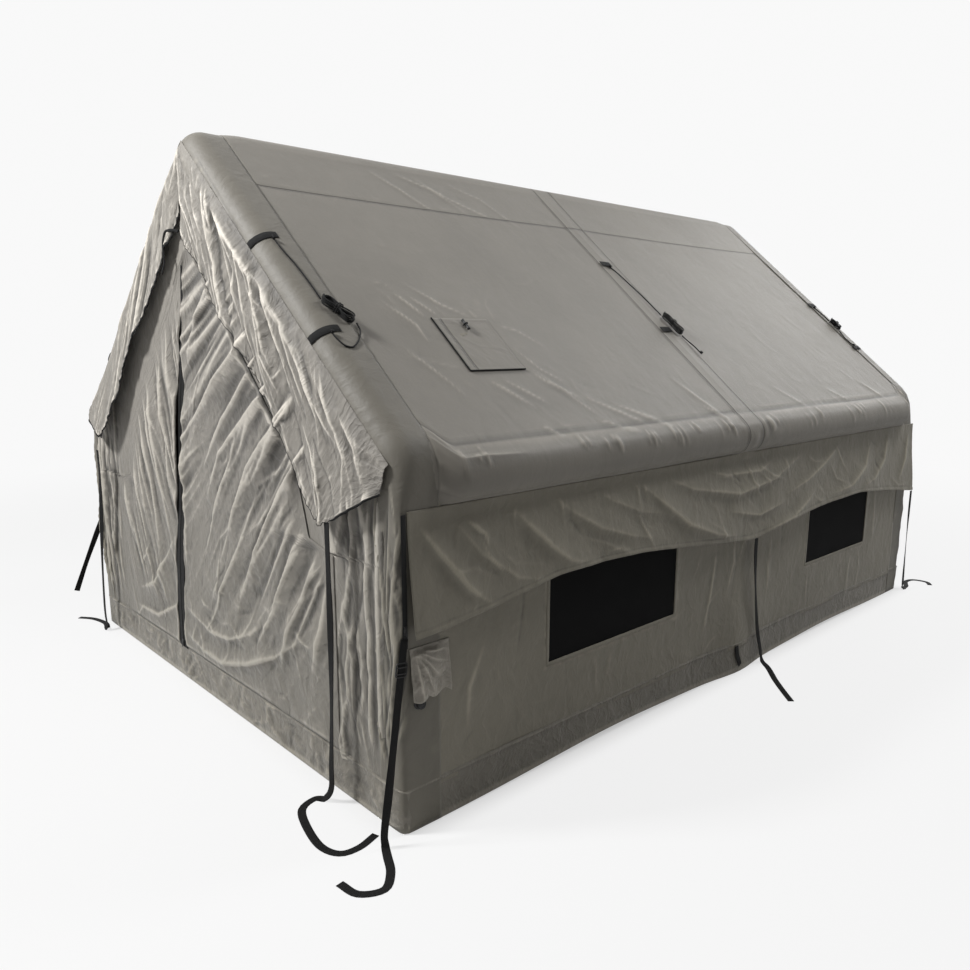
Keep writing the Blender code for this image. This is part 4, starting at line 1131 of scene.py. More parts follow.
def make_tubes():
    """Air tubes: the three arches and the six long tubes, with domed ends."""
    path = arch_line((30, 40, 8))[0]
    arches = (("front_arch", -ARCH_Y), ("middle_arch", MID_Y), ("rear_arch", ARCH_Y))
    for name, y in arches:
        line = placed(path[:, 0], y, path[:, 1])
        finish(tube_piece(f"{name}_bladder", line, 0.0865), "bladder", node=f"{name}_tube")
    for bay, a, b in (("front", -ARCH_Y, MID_Y), ("rear", MID_Y, ARCH_Y)):
        for run, x, z in (("right_eave", EAVE_X, EAVE_Z), ("left_eave", -EAVE_X, EAVE_Z), ("ridge", 0, RIDGE_Z)):
            line = placed(x, np.linspace(a + 0.140, b - 0.125, 24), z)
            finish(tube_piece(f"{bay}_{run}_bladder", line, 0.083), "bladder",
                   node=f"{bay}_{run}_tube")


def tube_piece(name, line, radius):
    """An inflated tube: round rings along the line, drawn in like a dome over the last few."""
    gone = travelled(line)
    reach = np.minimum(gone, gone[-1] - gone)
    share = np.clip(reach / (radius * 0.8), 0, 1)
    size = np.sqrt(1 - (1 - share) ** 2 * 0.85)
    return sweep(name, line, rings(circle(radius, 28), size, size))


# Walls and floor

WINDOWS = ((-1.355, -0.54), (0.705, 1.44))
WINDOW_Z = (0.43, 0.95)
WALL_Z = (0.135, 1.14)


def wall_bulge(y):
    """How far the foot of the wall stands out: over the middle arch's foot it is pushed outwards."""
    return 0.030 * hump(y, 0.02, 0.20)


def base_lift(y):
    """How far the floor's edge is off the ground between the arches' feet."""
    return 0.024 * (hump(y, -0.95, 0.55) + 0.7 * hump(y, 1.0, 0.5))


def wall_height(y, z, seed):
    """Height of the side wall's cloth: long folds that hang from the eave, drawn flat round the windows."""
    away = np.full(np.broadcast(y, z).shape, 1.0)
    for a, b in WINDOWS:
        away = np.minimum(away, np.hypot(outside(y, a, b), outside(z, *WINDOW_Z)))
    free = ramp(away, 0.005, 0.12)
    u, v = np.broadcast_arrays(y, z)
    h = strokes(u, v, 60, seed, (-1.85, 0.25, 1.85, 0.9), (1.45, 0.25), (0.18, 0.6), 0.014, 0.0045) * free
    h += strokes(u, v, 50, seed + 1, (-1.85, 0.2, 1.85, 1.0), (0.9, 0.7), (0.08, 0.25), 0.008, 0.0022) * free
    h += 0.004 * ripple(u, v, 0.35, seed + 2) * free + 0.0005 * crumple(u, v, 0.07, seed + 3)
    for a, b in WINDOWS:
        beside = hump(y, a - 0.02, 0.012) + hump(y, b + 0.02, 0.012)
        tall, across = between(z, *WINDOW_Z, 0.05), between(y, a, b, 0.05)
        under = hump(z, WINDOW_Z[0] - 0.02, 0.012) + hump(z, WINDOW_Z[1] + 0.02, 0.012)
        h += 0.0012 * (beside * tall + under * across)
        h += 0.0010 * ripple(y + z, 0, 0.03, seed + 5) * ((beside * tall + under * across) > 0.2)
    upright = strokes(u, v, 8, seed + 6, (-0.1, 0.3, 0.08, 0.9), (1.57, 0.1), (0.2, 0.6), 0.01, 1.0)
    return h + hump(y, MID_Y, 0.10) * (0.004 + 0.004 * upright)


def make_walls():
    """Side walls: a flat sheet with both window openings cut out, its foot pushed out over the middle arch."""
    posts = (-PANEL_END, *WINDOWS[0], *WINDOWS[1], PANEL_END)
    levels = (WALL_Z[0], *WINDOW_Z, WALL_Z[1])
    low, high = WINDOW_Z
    for side, name, seed, share in ((1, "right", 71, 1.0), (-1, "left", 81, 0.6)):
        counts = [round(share * count) for count in (66, 80, 130, 72, 50, 36, 56, 14)]
        y, z = spread(*zip(posts, posts[1:], counts)), spread(*zip(levels, levels[1:], counts[5:]))
        keep = np.ones((len(z) - 1, len(y) - 1), dtype=bool)
        for span in WINDOWS:
            inside = [outside((at[1:] + at[:-1]) / 2, *ends) == 0 for at, ends in ((z, WINDOW_Z), (y, span))]
            keep &= ~(inside[0][:, None] & inside[1][None, :])
        foot = wall_bulge(y)[None, :] * (1 - ramp(z, 0.10, 0.62))[:, None]
        height = wall_height(y[None, :], z[:, None], seed)
        points = placed(WALL_X - 0.0006 + foot, y[None, :], z[:, None])
        wall = surface(f"{name}_wall", raised(points, height) * (side, 1, 1), keep=keep, relief=(height, 0.006),
                       turned=side < 0)
        finish(wall, "wall", thick=SHEET, node=f"side_wall_{name}")
        for place, (a, b) in zip(("front", "rear"), WINDOWS):
            ny, nz = np.linspace(a - 0.004, b + 0.004, 50), np.linspace(low - 0.004, high + 0.004, 34)
            v, u = np.meshgrid(nz, ny, indexing="ij")
            round_x = (u - a) / (b - a) * np.pi
            round_z = (v - low) / (high - low) * np.pi
            sink = -0.006 * np.clip(np.sin(round_x), 0, 1) ** 0.5 * np.clip(np.sin(round_z), 0, 1) ** 0.5
            sink += 0.0012 * ripple(u, v, 0.12, seed + 9)
            net = surface(f"{name}_net_{place}", placed(side * (WALL_X - 0.0022 + sink), u, v), turned=side < 0)
            finish(net, "net", thick=0.0008, node=f"window_mesh_{name}_{place}")
            corners = [(side * (WALL_X + 0.0008), y, z) for y, z in
                       ((a - 0.009, low - 0.009), (b + 0.009, low - 0.009), (b + 0.009, high + 0.009),
                        (a - 0.009, high + 0.009))]
            tape = strip_ring(f"{name}_window_binding_{place}", resampled(np.array(corners), 90, True), (side, 0, 0),
                              0.016, 0.0016, True)
            finish(tape, "wall")


def resampled(points, count, closed=False):
    """Evenly spaced places along a broken line, which closed brings back to its start."""
    return evenly(np.concatenate([points, points[:1]]) if closed else points, count, not closed)[0]


def strip_ring(name, line, out, width, thick, loop=False):
    """A flat tape with rounded edges carried along a line, its flat side facing out."""
    half = width / 2
    ring = [(-half, -thick / 2), (half, -thick / 2), (half + thick / 3, 0), (half, thick / 2),
            (-half, thick / 2), (-half - thick / 3, 0)]
    return sweep(name, line, ring, up=np.asarray(out, float), loop=loop)


def corner_ring(half_x, half_y, radius, count):
    """Closed outline of a rectangle with squarish round corners, anticlockwise from the middle of the right side."""
    angle = np.linspace(0, math.pi / 2, 13)
    power = 7.0
    swell = (np.cos(angle) ** power + np.sin(angle) ** power) ** (-1 / power)
    corner = placed(radius * swell * np.cos(angle), radius * swell * np.sin(angle))
    rights = []
    for sx, sy in ((1, 1), (-1, 1), (-1, -1), (1, -1)):
        piece = (corner + (half_x - radius, half_y - radius)) * (sx, sy)
        rights.append(piece if sx * sy > 0 else piece[::-1])
    loop = np.concatenate([[(half_x, 0)]] + rights + [[(half_x, -1e-4)]])
    ring, at = evenly(loop, count)
    way = np.roll(ring, -1, axis=0) - np.roll(ring, 1, axis=0)
    way /= np.linalg.norm(way, axis=1, keepdims=True)
    return ring, placed(way[:, 1], -way[:, 0]), at


def make_floor():
    """Tub floor: a crinkled band round the foot of the walls with a raised top edge, turned under to the sheet."""
    ring, out, gone = corner_ring(WALL_X + 0.0008, END_Y + 0.0008, 0.09, 720)
    z = np.concatenate([[0.0035], np.linspace(0.002, 0.150, 24), np.linspace(0.152, 0.168, 8)])
    inset = np.zeros(len(z))
    inset[0] = 0.05
    lift = base_lift(ring[:, 1]) * (np.abs(ring[:, 0]) > 1.3)
    bulge = wall_bulge(ring[:, 1]) * (np.abs(ring[:, 0]) > 1.3)
    rise = z[:, None] + lift[None, :] * (1 - ramp(z, 0, 0.14))[:, None] * (inset == 0)[:, None]
    u = np.broadcast_to(gone[None, :], rise.shape)
    v = np.broadcast_to(z[:, None], rise.shape)
    mid = ramp(z, 0.0, 0.03)[:, None] * (1 - ramp(z, 0.155, 0.166))[:, None]
    ends = 0.10 + 0.90 * (np.abs(ring[:, 1]) > END_Y - 0.03)[None, :]
    h = 0.0024 * mid * crumple(u * 0.6, v, 0.075, 91) + 0.005 * mid * ripple(u, v, 0.16, 92)
    for middle in (gone[np.argmin(np.hypot(ring[:, 0], ring[:, 1] - end))] for end in (-END_Y, END_Y)):
        h += mid * strokes(u, v, 150, 93, (middle - 1.3, 0.01, middle + 1.3, 0.15), (1.2, 0.8), (0.05, 0.15), 0.008,
                           0.0085, 1.2, 1.5)
    h *= ends
    piping = hump(z, 0.158, 0.0045)[:, None]
    h += 0.0034 * piping + 0.0012 * ripple(u, 0, 0.02, 94) * piping
    h += 0.0015 * ripple(u, 0, 0.03, 95) * ramp(z, 0.11, 0.15)[:, None]
    h = h - 0.002 + bulge[None, :] * (1 - ramp(z, 0.10, 0.62))[:, None] - inset[:, None]
    x = ring[None, :, 0] + out[None, :, 0] * h
    y = ring[None, :, 1] + out[None, :, 1] * h
    band = surface("floor_band", placed(x, y, rise), closed=True, relief=(h, 0.0085), reach=5)
    finish(band, "floor", thick=SHEET, node="tub_floor")
    sx, sy = np.meshgrid(np.linspace(-1.40, 1.40, 60), np.linspace(-2.01, 2.01, 80))
    lie = 0.0034 + 0.0012 * ripple(sx, sy, 0.25, 96) * ramp(1.38 - np.abs(sx), 0, 0.1)
    lie += 0.0004 * crumple(sx, sy, 0.1, 97)
    sheet = surface("floor_sheet", placed(sx, sy, lie))
    finish(sheet, "floor", thick=SHEET)


# End walls, door and flaps

DOOR_Z = (0.165, 2.014)
LEAF_TOP = 2.008
HINGE_X = 1.06
FACE_Y = -END_Y
RAKE_X = (0.000, 0.20, 0.45, 0.70, 0.93, 1.15, 1.27, 1.385)
EDGE_X = (0.000, 0.130, 0.367, 0.606, 0.794, 1.016, 1.130, 1.365)
EDGE_DROP = (0.3063, 0.3317, 0.3712, 0.3660, 0.4333, 0.4703, 0.3883, 0.0725)
RIGHT_FLARE = (0.002, 0.006, 0.010, 0.016, 0.024, 0.050, 0.068, 0.010)
LEFT_FLARE = (0.002, 0.022, 0.036, 0.040, 0.048, 0.060, 0.046, 0.022)
NOTCH = ((-0.010, 2.062), (-0.060, 2.070), (-0.120, 2.066), (-0.135, 2.020), (-0.128, 1.960), (-0.170, 1.900))


def rafter_z(x):
    """Height of the rafters' axis over a place across the tent."""
    return RIDGE_Z - np.abs(x) * math.tan(SLOPE)


def door_loop(inset):
    """The doorway's outline, drawn in by the inset, anticlockwise seen from outside, as (X, Z) places."""
    side = HINGE_X - inset
    half = [(side, DOOR_Z[0] + inset), (side, 0.93 - inset), (HINGE_X - 0.16, 0.93 - inset), (0.81, 1.2121 - inset),
            (0, DOOR_Z[1] - inset)]
    return np.array(half + [(-x, z) for x, z in half[-2::-1]])


def ray_ring(loop, centre, angles):
    """Where rays from the centre cross a closed outline."""
    ends = np.roll(loop, -1, axis=0)
    way = placed(np.cos(angles), np.sin(angles))
    best = np.full(len(angles), 1e9)
    for start, end in zip(loop - centre, ends - centre):
        edge = end - start
        cross = way[:, 0] * edge[1] - way[:, 1] * edge[0]
        safe = np.where(np.abs(cross) < 1e-12, 1e-12, cross)
        reach = (start[0] * edge[1] - start[1] * edge[0]) / safe
        share = (start[0] * way[:, 1] - start[1] * way[:, 0]) / safe
        good = (reach > 0) & (share >= -1e-9) & (share <= 1 + 1e-9)
        best = np.where(good & (reach < best), reach, best)
    return centre + way * best[:, None]


def gable_height(x, z, seed):
    """Height of the end wall's cloth: creased all over, with upright folds near the legs."""
    u, v = np.broadcast_arrays(x, z)
    h = 0.0012 * crumple(u, v, 0.09, seed) + 0.003 * ripple(u, v, 0.3, seed + 1)
    for side, near, far in ((1, 1.07, 1.37), (-1, -1.37, -1.07)):
        h += strokes(u, v, 40, seed + 2 + side, (near, 0.22, far, 1.15), (1.57, 0.07), (0.2, 0.8), 0.013, 0.016,
                     1.15, 1.7)
        beside = hump(side * u, 1.268, 0.013) + hump(side * u, 1.322, 0.015)
        h += 0.018 * beside * ramp(v, 0.2, 0.4) * ramp(1.2 - v, 0, 0.2)
    return h


DOOR_FOLDS = (
    ([(0.56, 1.66), (0.247, 1.47), (-0.087, 1.23)], 0.049, 0.043),
    ([(0.62, 1.58), (0.287, 1.325), (0.026, 1.074)], 0.042, 0.041),
    ([(0.34, 1.90), (0.191, 1.824), (0.054, 1.667), (-0.036, 1.527)], 0.032, 0.026),
    ([(0.42, 1.76), (0.16, 1.60), (-0.05, 1.42)], 0.026, 0.020),
    ([(0.70, 1.48), (0.232, 1.171), (0.041, 0.944)], 0.049, 0.043),
    ([(0.80, 1.40), (0.496, 1.146), (0.326, 0.932), (0.16, 0.68)], 0.042, 0.038),
    ([(0.94, 1.28), (0.727, 1.087), (0.560, 0.86), (0.33, 0.56)], 0.042, 0.038),
    ([(1.00, 1.12), (0.807, 0.873), (0.655, 0.601), (0.436, 0.371)], 0.049, 0.038),
    ([(0.96, 0.90), (0.86, 0.70), (0.70, 0.48)], 0.032, 0.023),
    ([(1.01, 0.80), (0.97, 0.60), (0.88, 0.40)], 0.028, 0.020),
    ([(0.30, 1.12), (0.12, 0.90), (-0.02, 0.66)], 0.035, 0.023),
    ([(0.40, 0.86), (0.22, 0.62), (0.05, 0.42)], 0.035, 0.023),
    ([(-0.255, 0.262), (-0.08, 0.225), (0.14, 0.225), (0.38, 0.295), (0.61, 0.393), (0.82, 0.52), (0.975, 0.657)],
     0.070, 0.030),
    ([(-0.20, 0.38), (0.02, 0.34), (0.22, 0.36), (0.42, 0.44), (0.60, 0.55)], 0.050, 0.020),
    ([(-0.16, 1.10), (-0.19, 0.80), (-0.24, 0.52)], 0.028, 0.020),
    ([(-0.214, 1.92), (-0.179, 1.723), (-0.190, 1.45)], 0.021, 0.014),
    ([(-0.32, 1.84), (-0.26, 1.60), (-0.24, 1.30)], 0.028, 0.020),
    ([(-0.486, 1.726), (-0.369, 1.517), (-0.330, 1.20), (-0.32, 0.80)], 0.035, 0.029),
    ([(-0.64, 1.60), (-0.53, 1.354), (-0.44, 1.05), (-0.39, 0.72)], 0.038, 0.035),
    ([(-0.80, 1.50), (-0.70, 1.26), (-0.58, 0.95), (-0.52, 0.60)], 0.038, 0.032),
    ([(-0.94, 1.34), (-0.84, 1.12), (-0.719, 0.80), (-0.66, 0.50)], 0.038, 0.032),
    ([(-1.02, 1.10), (-0.96, 0.86), (-0.86, 0.54)], 0.035, 0.026),
    ([(-0.42, 0.62), (-0.62, 0.42), (-0.86, 0.34)], 0.042, 0.023),
    ([(-0.38, 0.36), (-0.60, 0.26), (-0.92, 0.24)], 0.032, 0.020),
)


def front_folds(x, z):
    """The folds that the photograph shows in both door leaves, and smaller seeded ones between them."""
    u, v = np.broadcast_arrays(x, z)
    longer = []
    for route, width, height in DOOR_FOLDS:
        first, second = np.array(route[0]), np.array(route[1])
        longer.append(([first + (first - second) * 0.5] + route, width * 0.55, height * 0.62))
    h = folds(u, v, longer, 1.15, 1.6)
    h += 0.006 * ripple(u + v * 0.9, v - u, 0.30, 306)
    wide = fan(u, v, (2.38, 3.00), 2.6, (0.0130, 0.095, 0.10, 307), (0.0060, 0.040, 0.08, 308))
    calm = 0.45 + 0.55 * ramp(ripple(u, v, 0.45, 311), -0.5, 0.5)
    tall = fan(u, v, (1.12, -3.69), 5.0, (0.0110, 0.080, 0.08, 309), (0.0050, 0.034, 0.07, 310))
    right = ramp(u - zip_line(v), -0.05, 0.05)
    h += (wide * right + tall * (1 - right)) * calm * ramp(v, 0.25, 0.60)
    h += strokes(u, v, 40, 300, (-0.12, 0.7, 0.95, 1.85), (0.76, 0.12), (0.25, 0.80), 0.011, 0.0065, 1.1, 1.7)
    h += strokes(u, v, 34, 301, (-0.15, 0.25, 1.0, 1.2), (0.92, 0.20), (0.15, 0.50), 0.012, 0.0055, 1.15, 1.6)
    h += strokes(u, v, 40, 302, (-1.0, 0.25, -0.2, 1.7), (1.84, 0.12), (0.20, 0.75), 0.011, 0.0060, 1.1, 1.7)
    h += strokes(u, v, 60, 303, (-1.0, 0.18, 1.0, 0.60), (0.5, 0.8), (0.06, 0.22), 0.012, 0.0055, 1.3)
    h += 0.0009 * crumple(u, v, 0.075, 304) + 0.0004 * crumple(u, v, 0.030, 305)
    return h


def make_gables():
    """End walls: the front one is a ring round the doorway, the rear one a whole sheet with a middle seam."""
    centre = np.array([0.0, 0.85])
    angles = np.linspace(0, 2 * np.pi, 640, endpoint=False)
    edge, foot = 1.352, WALL_Z[0]
    outer = np.array([(edge, foot), (edge, 1.262), (0, rafter_z(0) + 0.004), (-edge, 1.262), (-edge, foot)])
    inner = ray_ring(door_loop(0.03), centre, angles)
    rim = ray_ring(outer, centre, angles)
    share = np.linspace(0, 1, 38)[:, None, None]
    flat = inner[None] * (1 - share) + rim[None] * share
    x, z = flat[..., 0], flat[..., 1]
    h = gable_height(x, z, 401) * np.sin(np.pi * np.clip(share[..., 0], 0.02, 0.98)) ** 0.4
    h = np.minimum(h, 0.001 + 0.03 * ramp(share[..., 0], 0.08, 0.35)) - 0.0012
    uv = placed(x, z)[::-1]
    border = surface("front_end_wall", placed(x, FACE_Y - h, z)[::-1], uv=np.concatenate([uv, uv[:, :1]], axis=1),
                     closed=True, relief=(h[::-1], 0.008))
    finish(border, "gable", thick=SHEET, node="front_gable")
    u, v = np.meshgrid(np.linspace(-edge, edge, 120), np.linspace(0, 1, 90))
    z = foot + v * (rafter_z(u) - foot)
    h = gable_height(u, z, 431) + strokes(u, z, 60, 435, (-1.2, 0.3, 1.2, 1.8), (1.5, 0.4), (0.2, 0.6), 0.014, 0.006)
    h -= 0.0015 * hump(u, 0.0, 0.003) + 0.0015 * hump(z, 1.20, 0.003)
    back = surface("rear_end_wall", placed(u, END_Y + h * ramp(v, 0, 0.04), z), relief=(h, 0.008),
                   turned=True)
    finish(back, "gable", thick=SHEET, node="rear_gable")


ZIP_Z = (0.150, 0.373, 0.597, 0.906, 1.273, 1.667, 1.93)
ZIP_X = (-0.330, -0.322, -0.300, -0.228, -0.180, -0.085, -0.045)
ZIP_TOP = ZIP_Z[-1]
DOORWAY = ((0.165, 1.058), (0.90, 1.058), (0.935, 0.898), (1.212, 0.812), (2.010, 0.010))
LEAF_GRID = ((0.165, 1.058), (0.60, 1.02), (1.212, 0.812), (2.010, 0.010))
ZIP_BAND = ((0.17, 0.044), (0.60, 0.040), (1.20, 0.031), (1.60, 0.027), (1.76, 0.0175))


def zip_line(z):
    """Place of the slanting zip across the tent at a height."""
    return np.interp(z, ZIP_Z, ZIP_X)


def leaf_far(z):
    """Half width of the doorway at a height."""
    return read_off(z, DOORWAY)


def doorway_gap(x, z):
    """Distance from the doorway's edge, found as the least of the slanting distances to it over nearby heights."""
    gap = np.full(x.shape, 1.0)
    for step in np.linspace(-0.12, 0.12, 25):
        gap = np.minimum(gap, np.hypot(np.maximum(leaf_far(z + step) - np.abs(x), 0), step))
    return gap


def zip_half(z):
    """Half width of the dark band at the zip: narrow at the top and wide and wavy lower down."""
    return read_off(z, ZIP_BAND) + 0.005 * ripple(z, 0, 0.11, 331) * (z < 1.7)


def make_door():
    """Both door leaves: cloth between the zip line and the hinge side, gathered into the folds that are seen."""
    z = spread((0.168, ZIP_TOP, 236), (ZIP_TOP, LEAF_TOP, 12))
    peaks = {1: ((ZIP_TOP, -0.031), (LEAF_TOP, 0.0)), -1: ((ZIP_TOP, -0.059), (LEAF_TOP, -0.012))}
    for side, name, body in ((1, "right", "door_right"), (-1, "left", "door_left")):
        t = np.linspace(0, 1, 196 if side > 0 else 112)
        apart = zip_half(z) - 0.002 + 0.0025 * ripple(z, 0, 0.045, 340 + side)
        near = zip_line(z) + side * np.maximum(apart, 0.0140)
        near = np.where(z > ZIP_TOP, read_off(z, peaks[side]), near)
        far = side * np.maximum(leaf_far(z), np.abs(near) + 0.004)
        even = side * np.maximum(read_off(z, LEAF_GRID), np.abs(near) + 0.004)
        x = near[:, None] + (even - near)[:, None] * t[None, :] + (far - even)[:, None] * t[None, :] ** 6
        v = np.broadcast_to(z[:, None], x.shape)
        h = front_folds(x, v) + 0.006
        hem = np.exp(-np.abs(x - near[:, None]) / 0.014)
        h += 0.010 * hem * (0.8 + 0.8 * ripple(v, 0, 0.10, 320 + side))
        high = ramp(v, 1.02, 1.18)
        reach = 0.13 + (0.012 - 0.13) * high if side > 0 else 0.20
        edge = ramp(doorway_gap(x, v) / reach, 0.0, 1.0) * ramp(v, 0.166, 0.190)
        h = np.maximum(h * (0.06 + 0.94 * edge), 0.0002)
        h = h * (0.45 + 0.55 * ramp(np.abs(x - near[:, None]), 0.0, 0.010))
        leaf = surface(f"{name}_door_leaf", placed(x, FACE_Y - 0.0026 - h, v), relief=(h, 0.0075), reach=9,
                       turned=side < 0)
        finish(leaf, "gable", body=body, thick=SHEET, node=f"door_leaf_{name}")
    line_z = np.linspace(0.1655, 1.9295, 300)
    line = placed(zip_line(line_z), FACE_Y - 0.0054, line_z)
    line[:, 0] += 0.0012 * ripple(line_z, 0, 0.09, 330)
    ring = [(-1, -0.0012), (1, -0.0012), (1.04, 0), (1, 0.0012), (0, 0.0016), (-1, 0.0012), (-1.04, 0)]
    tape = sweep("door_zip", line, rings(ring, zip_half(line_z), 1.0), up=(0, -1, 0))
    finish(tape, "zip", body="door_right", node="centre_zip")
    coil = line + (0, -0.0020, 0)
    finish(sweep("door_zip_coil", coil, circle(0.0022, 8) * (1, 0.5)), "zip", body="door_right")
    slider_piece("door_zip_slider", (zip_line(0.166), FACE_Y - 0.0070, 0.167), 0.020, 0.034, (0, -1, 0),
                 "door_slider", "centre_zip_slider")


def slider_piece(name, low, width, tall, out, body, node):
    """A zip slider: a waisted body with a raised bridge, and a flat pull tab."""
    out = np.asarray(out, float)
    t = np.linspace(0, 1, 26)
    wide = width / 2 * (0.82 + 0.18 * np.cos(4 * np.pi * t)) * rounded_ends(t, 0.06, 4)
    ring = circle(1.0, 20)
    ring = np.sign(ring) * np.abs(ring) ** 0.6
    deep = 0.0022 + 0.0012 * hump(t, 0.5, 0.25)
    centre = np.asarray(low) + out * 0.0022
    line = centre + np.outer(t * tall, (0, 0, 1))
    finish(sweep(name, line, rings(ring, wide, deep), up=out), "plastic", body=body, node=node)
    tab = np.linspace(0, 1, 18)
    pull_w = 0.0042 * (0.75 + 0.25 * np.cos(np.pi * tab)) * rounded_ends(tab, 0.05, 5)
    hang = centre + out * (0.0048 + 0.0008 * tab[:, None]) + np.outer(tall * 0.62 - tab * tall * 0.75, (0, 0, 1))
    finish(sweep(name + "_pull", hang, rings(ring, pull_w, 0.0010), up=out), "plastic", body=body)


FLAP_FOLDS = (
    ([(0.05, 2.30), (0.075, 2.19), (0.174, 2.016), (0.187, 1.901)], 0.019, 0.016),
    ([(0.10, 2.28), (0.14, 2.14), (0.25, 1.98)], 0.016, 0.012),
    ([(0.208, 2.20), (0.22, 2.113), (0.311, 1.92), (0.344, 1.744)], 0.022, 0.022),
    ([(0.246, 2.16), (0.384, 2.037), (0.476, 1.887), (0.44, 1.700)], 0.022, 0.022),
    ([(0.315, 2.11), (0.50, 1.943), (0.562, 1.716), (0.578, 1.60)], 0.024, 0.024),
    ([(0.44, 2.00), (0.60, 1.86), (0.66, 1.68), (0.70, 1.52)], 0.019, 0.019),
    ([(0.491, 1.96), (0.675, 1.808), (0.758, 1.668), (0.836, 1.485), (0.90, 1.36)], 0.026, 0.027),
    ([(0.685, 1.80), (0.81, 1.690), (0.865, 1.555), (0.963, 1.377)], 0.026, 0.024),
    ([(0.80, 1.70), (0.92, 1.54), (1.02, 1.38), (1.05, 1.24)], 0.022, 0.019),
    ([(0.871, 1.62), (0.97, 1.469), (1.089, 1.343), (1.166, 1.284)], 0.026, 0.022),
    ([(0.98, 1.54), (1.10, 1.40), (1.19, 1.26), (1.21, 1.08)], 0.022, 0.019),
    ([(1.12, 1.42), (1.24, 1.30), (1.29, 1.18)], 0.019, 0.016),
    ([(1.00, 1.30), (1.06, 1.16), (1.08, 1.06)], 0.019, 0.016),
)


def make_gable_flaps():
    """Storm flaps: sewn along the rake over the end sleeve, falling in long folds to a puckered, bound free edge; on
    the left a wide black hem band and a black piece at the top are partly painted shade.
    """
    for side, name, flare, seed in ((1, "right", RIGHT_FLARE, 501), (-1, "left", LEFT_FLARE, 521)):
        t = np.linspace(0, 1, 400 if side > 0 else 280)
        above, below = (24, 70) if side > 0 else (16, 48)
        drop = np.concatenate([np.linspace(0, 0.2, above, endpoint=False), np.linspace(0.2, 1, below)])[:, None]
        rake_x = smooth_interp(t, RAKE_X)
        edge_x = smooth_interp(t, EDGE_X)
        hang = smooth_interp(t, EDGE_DROP) * (1.0 if side > 0 else 0.80)
        stand = smooth_interp(t, flare)
        x = rake_x + (edge_x - rake_x) * drop
        run = np.broadcast_to(t * 2.0, x.shape)
        fall = np.broadcast_to(drop * 0.4, x.shape)
        top_z = rafter_z(rake_x) + 0.040
        scallop = 0.010 * ripple(t * 2.0, 0, 0.065, seed) + 0.006 * ripple(t * 2.0, 0, 0.028, seed + 9)
        scallop = scallop * ramp(0.90 - t, 0, 0.05) * ramp(t, 0.02, 0.10)
        low_z = rafter_z(edge_x) - hang + scallop
        z = top_z + (low_z - top_z) * drop
        over = np.maximum((z - rafter_z(x)) * math.cos(SLOPE), 0)
        seat = ARCH_Y + np.sqrt(np.maximum((SKIN_R + 0.0006) ** 2 - over ** 2, 0)) + 0.0008
        tight = ramp(drop, 0.0, 0.16)
        h = stand * drop ** 1.2
        pucker = ripple(run, 0, 0.030, seed + 3) + 0.7 * ripple(run, 0, 0.014, seed + 6)
        some = 0.25 + 0.75 * ramp(ripple(run, 0, 0.21, seed + 8), -0.3, 0.6)
        h += 0.0030 * (1.0 + pucker) * hump(drop, 0.06, 0.05) * ramp(1.75 - run, 0, 0.3) * some
        h += 0.0050 * ripple(run, fall * 0.2, 0.16, seed + 1) * drop ** 0.8
        h += 0.0040 * pucker * hump(drop, 1.0, 0.10) * ramp(0.90 - t, 0, 0.05)
        fine = strokes(x, z, 80, seed + 4, (0.0, 1.05, 1.33, 2.3), (2.03, 0.12), (0.16, 0.60), 0.010, 0.0085, 1.1, 1.7)
        sharp = fan(x, z, (-1.2, 5.6), 4.2, (0.0125, 0.075, 0.12, seed + 11), (0.0060, 0.030, 0.10, seed + 12))
        sharp = (sharp + 0.009) * (0.35 + 0.65 * ramp(ripple(run, fall, 0.35, seed + 13), -0.6, 0.3))
        if side > 0:
            leaf = np.maximum(front_folds(x, z) + 0.004, 0) * ramp(drop, 0.25, 0.95) * ramp(1.98 - z, 0.0, 0.08)
            h += tight * (0.75 * folds(x, z, FLAP_FOLDS, 1.15, 1.6) + fine + sharp)
            h = np.maximum(h, tight * (leaf * ramp(1.10 - x, 0.0, 0.15) + 0.0085))
        else:
            h += tight * (0.45 * fine + 0.006 + 0.6 * sharp)
        h += 0.0011 * crumple(run, fall, 0.06, seed + 5) * tight + 0.0014 * hump(drop, 0.955, 0.012)
        h = np.maximum(h, 0.0)
        seat = np.maximum(seat, (END_Y + GAP + CLOTH / 2 + 0.0016) * (drop > 0.25))
        points = placed(side * x, -seat - h, z)
        hem = points[-1]
        flap = surface(f"{name}_storm_flap", points[::-1], relief=(h[::-1], 0.0065), reach=9, turned=side < 0)
        finish(flap, "storm", thick=SHEET, node=f"gable_flap_{name}")
        # The black hem tape is the binding; on the left it is made wide and scalloped to stand also for the shade under
        # the lifted hem: painted shade.
        wide = 0.0010 + 0.0034 * ramp(t, 0.86, 0.90) if side > 0 else 0.0060 + 0.003 * ripple(t * 2, 0, 0.07, 523)
        ring = rings(circle(1.0, 8), wide, 0.0016)
        finish(sweep(f"{name}_storm_flap_binding_and_shade", hem, ring, up=(0, -1, 0)), "webbing")
        if side < 0:
            # Painted shade: a dark piece along the notch at the top of the left flap stands for the shaded gap under
            # its curled top.
            cut = smooth_route(np.array(NOTCH), 0.010)
            away = np.hypot(points[None, ..., 0] - cut[:, 0, None, None], points[None, ..., 2] - cut[:, 1, None, None])
            nearest = away.reshape(len(cut), -1).argmin(axis=1)
            y = points[..., 1].ravel()[nearest] - 0.0030
            y = running_mean(y, 3)
            ring = circle(1.0, 8) * (0.0065, 0.0022)
            shade_piece = sweep("left_storm_flap_gap_shade", placed(cut[:, 0], y, cut[:, 1]), ring, up=(0, -1, 0))
            finish(shade_piece, "webbing")


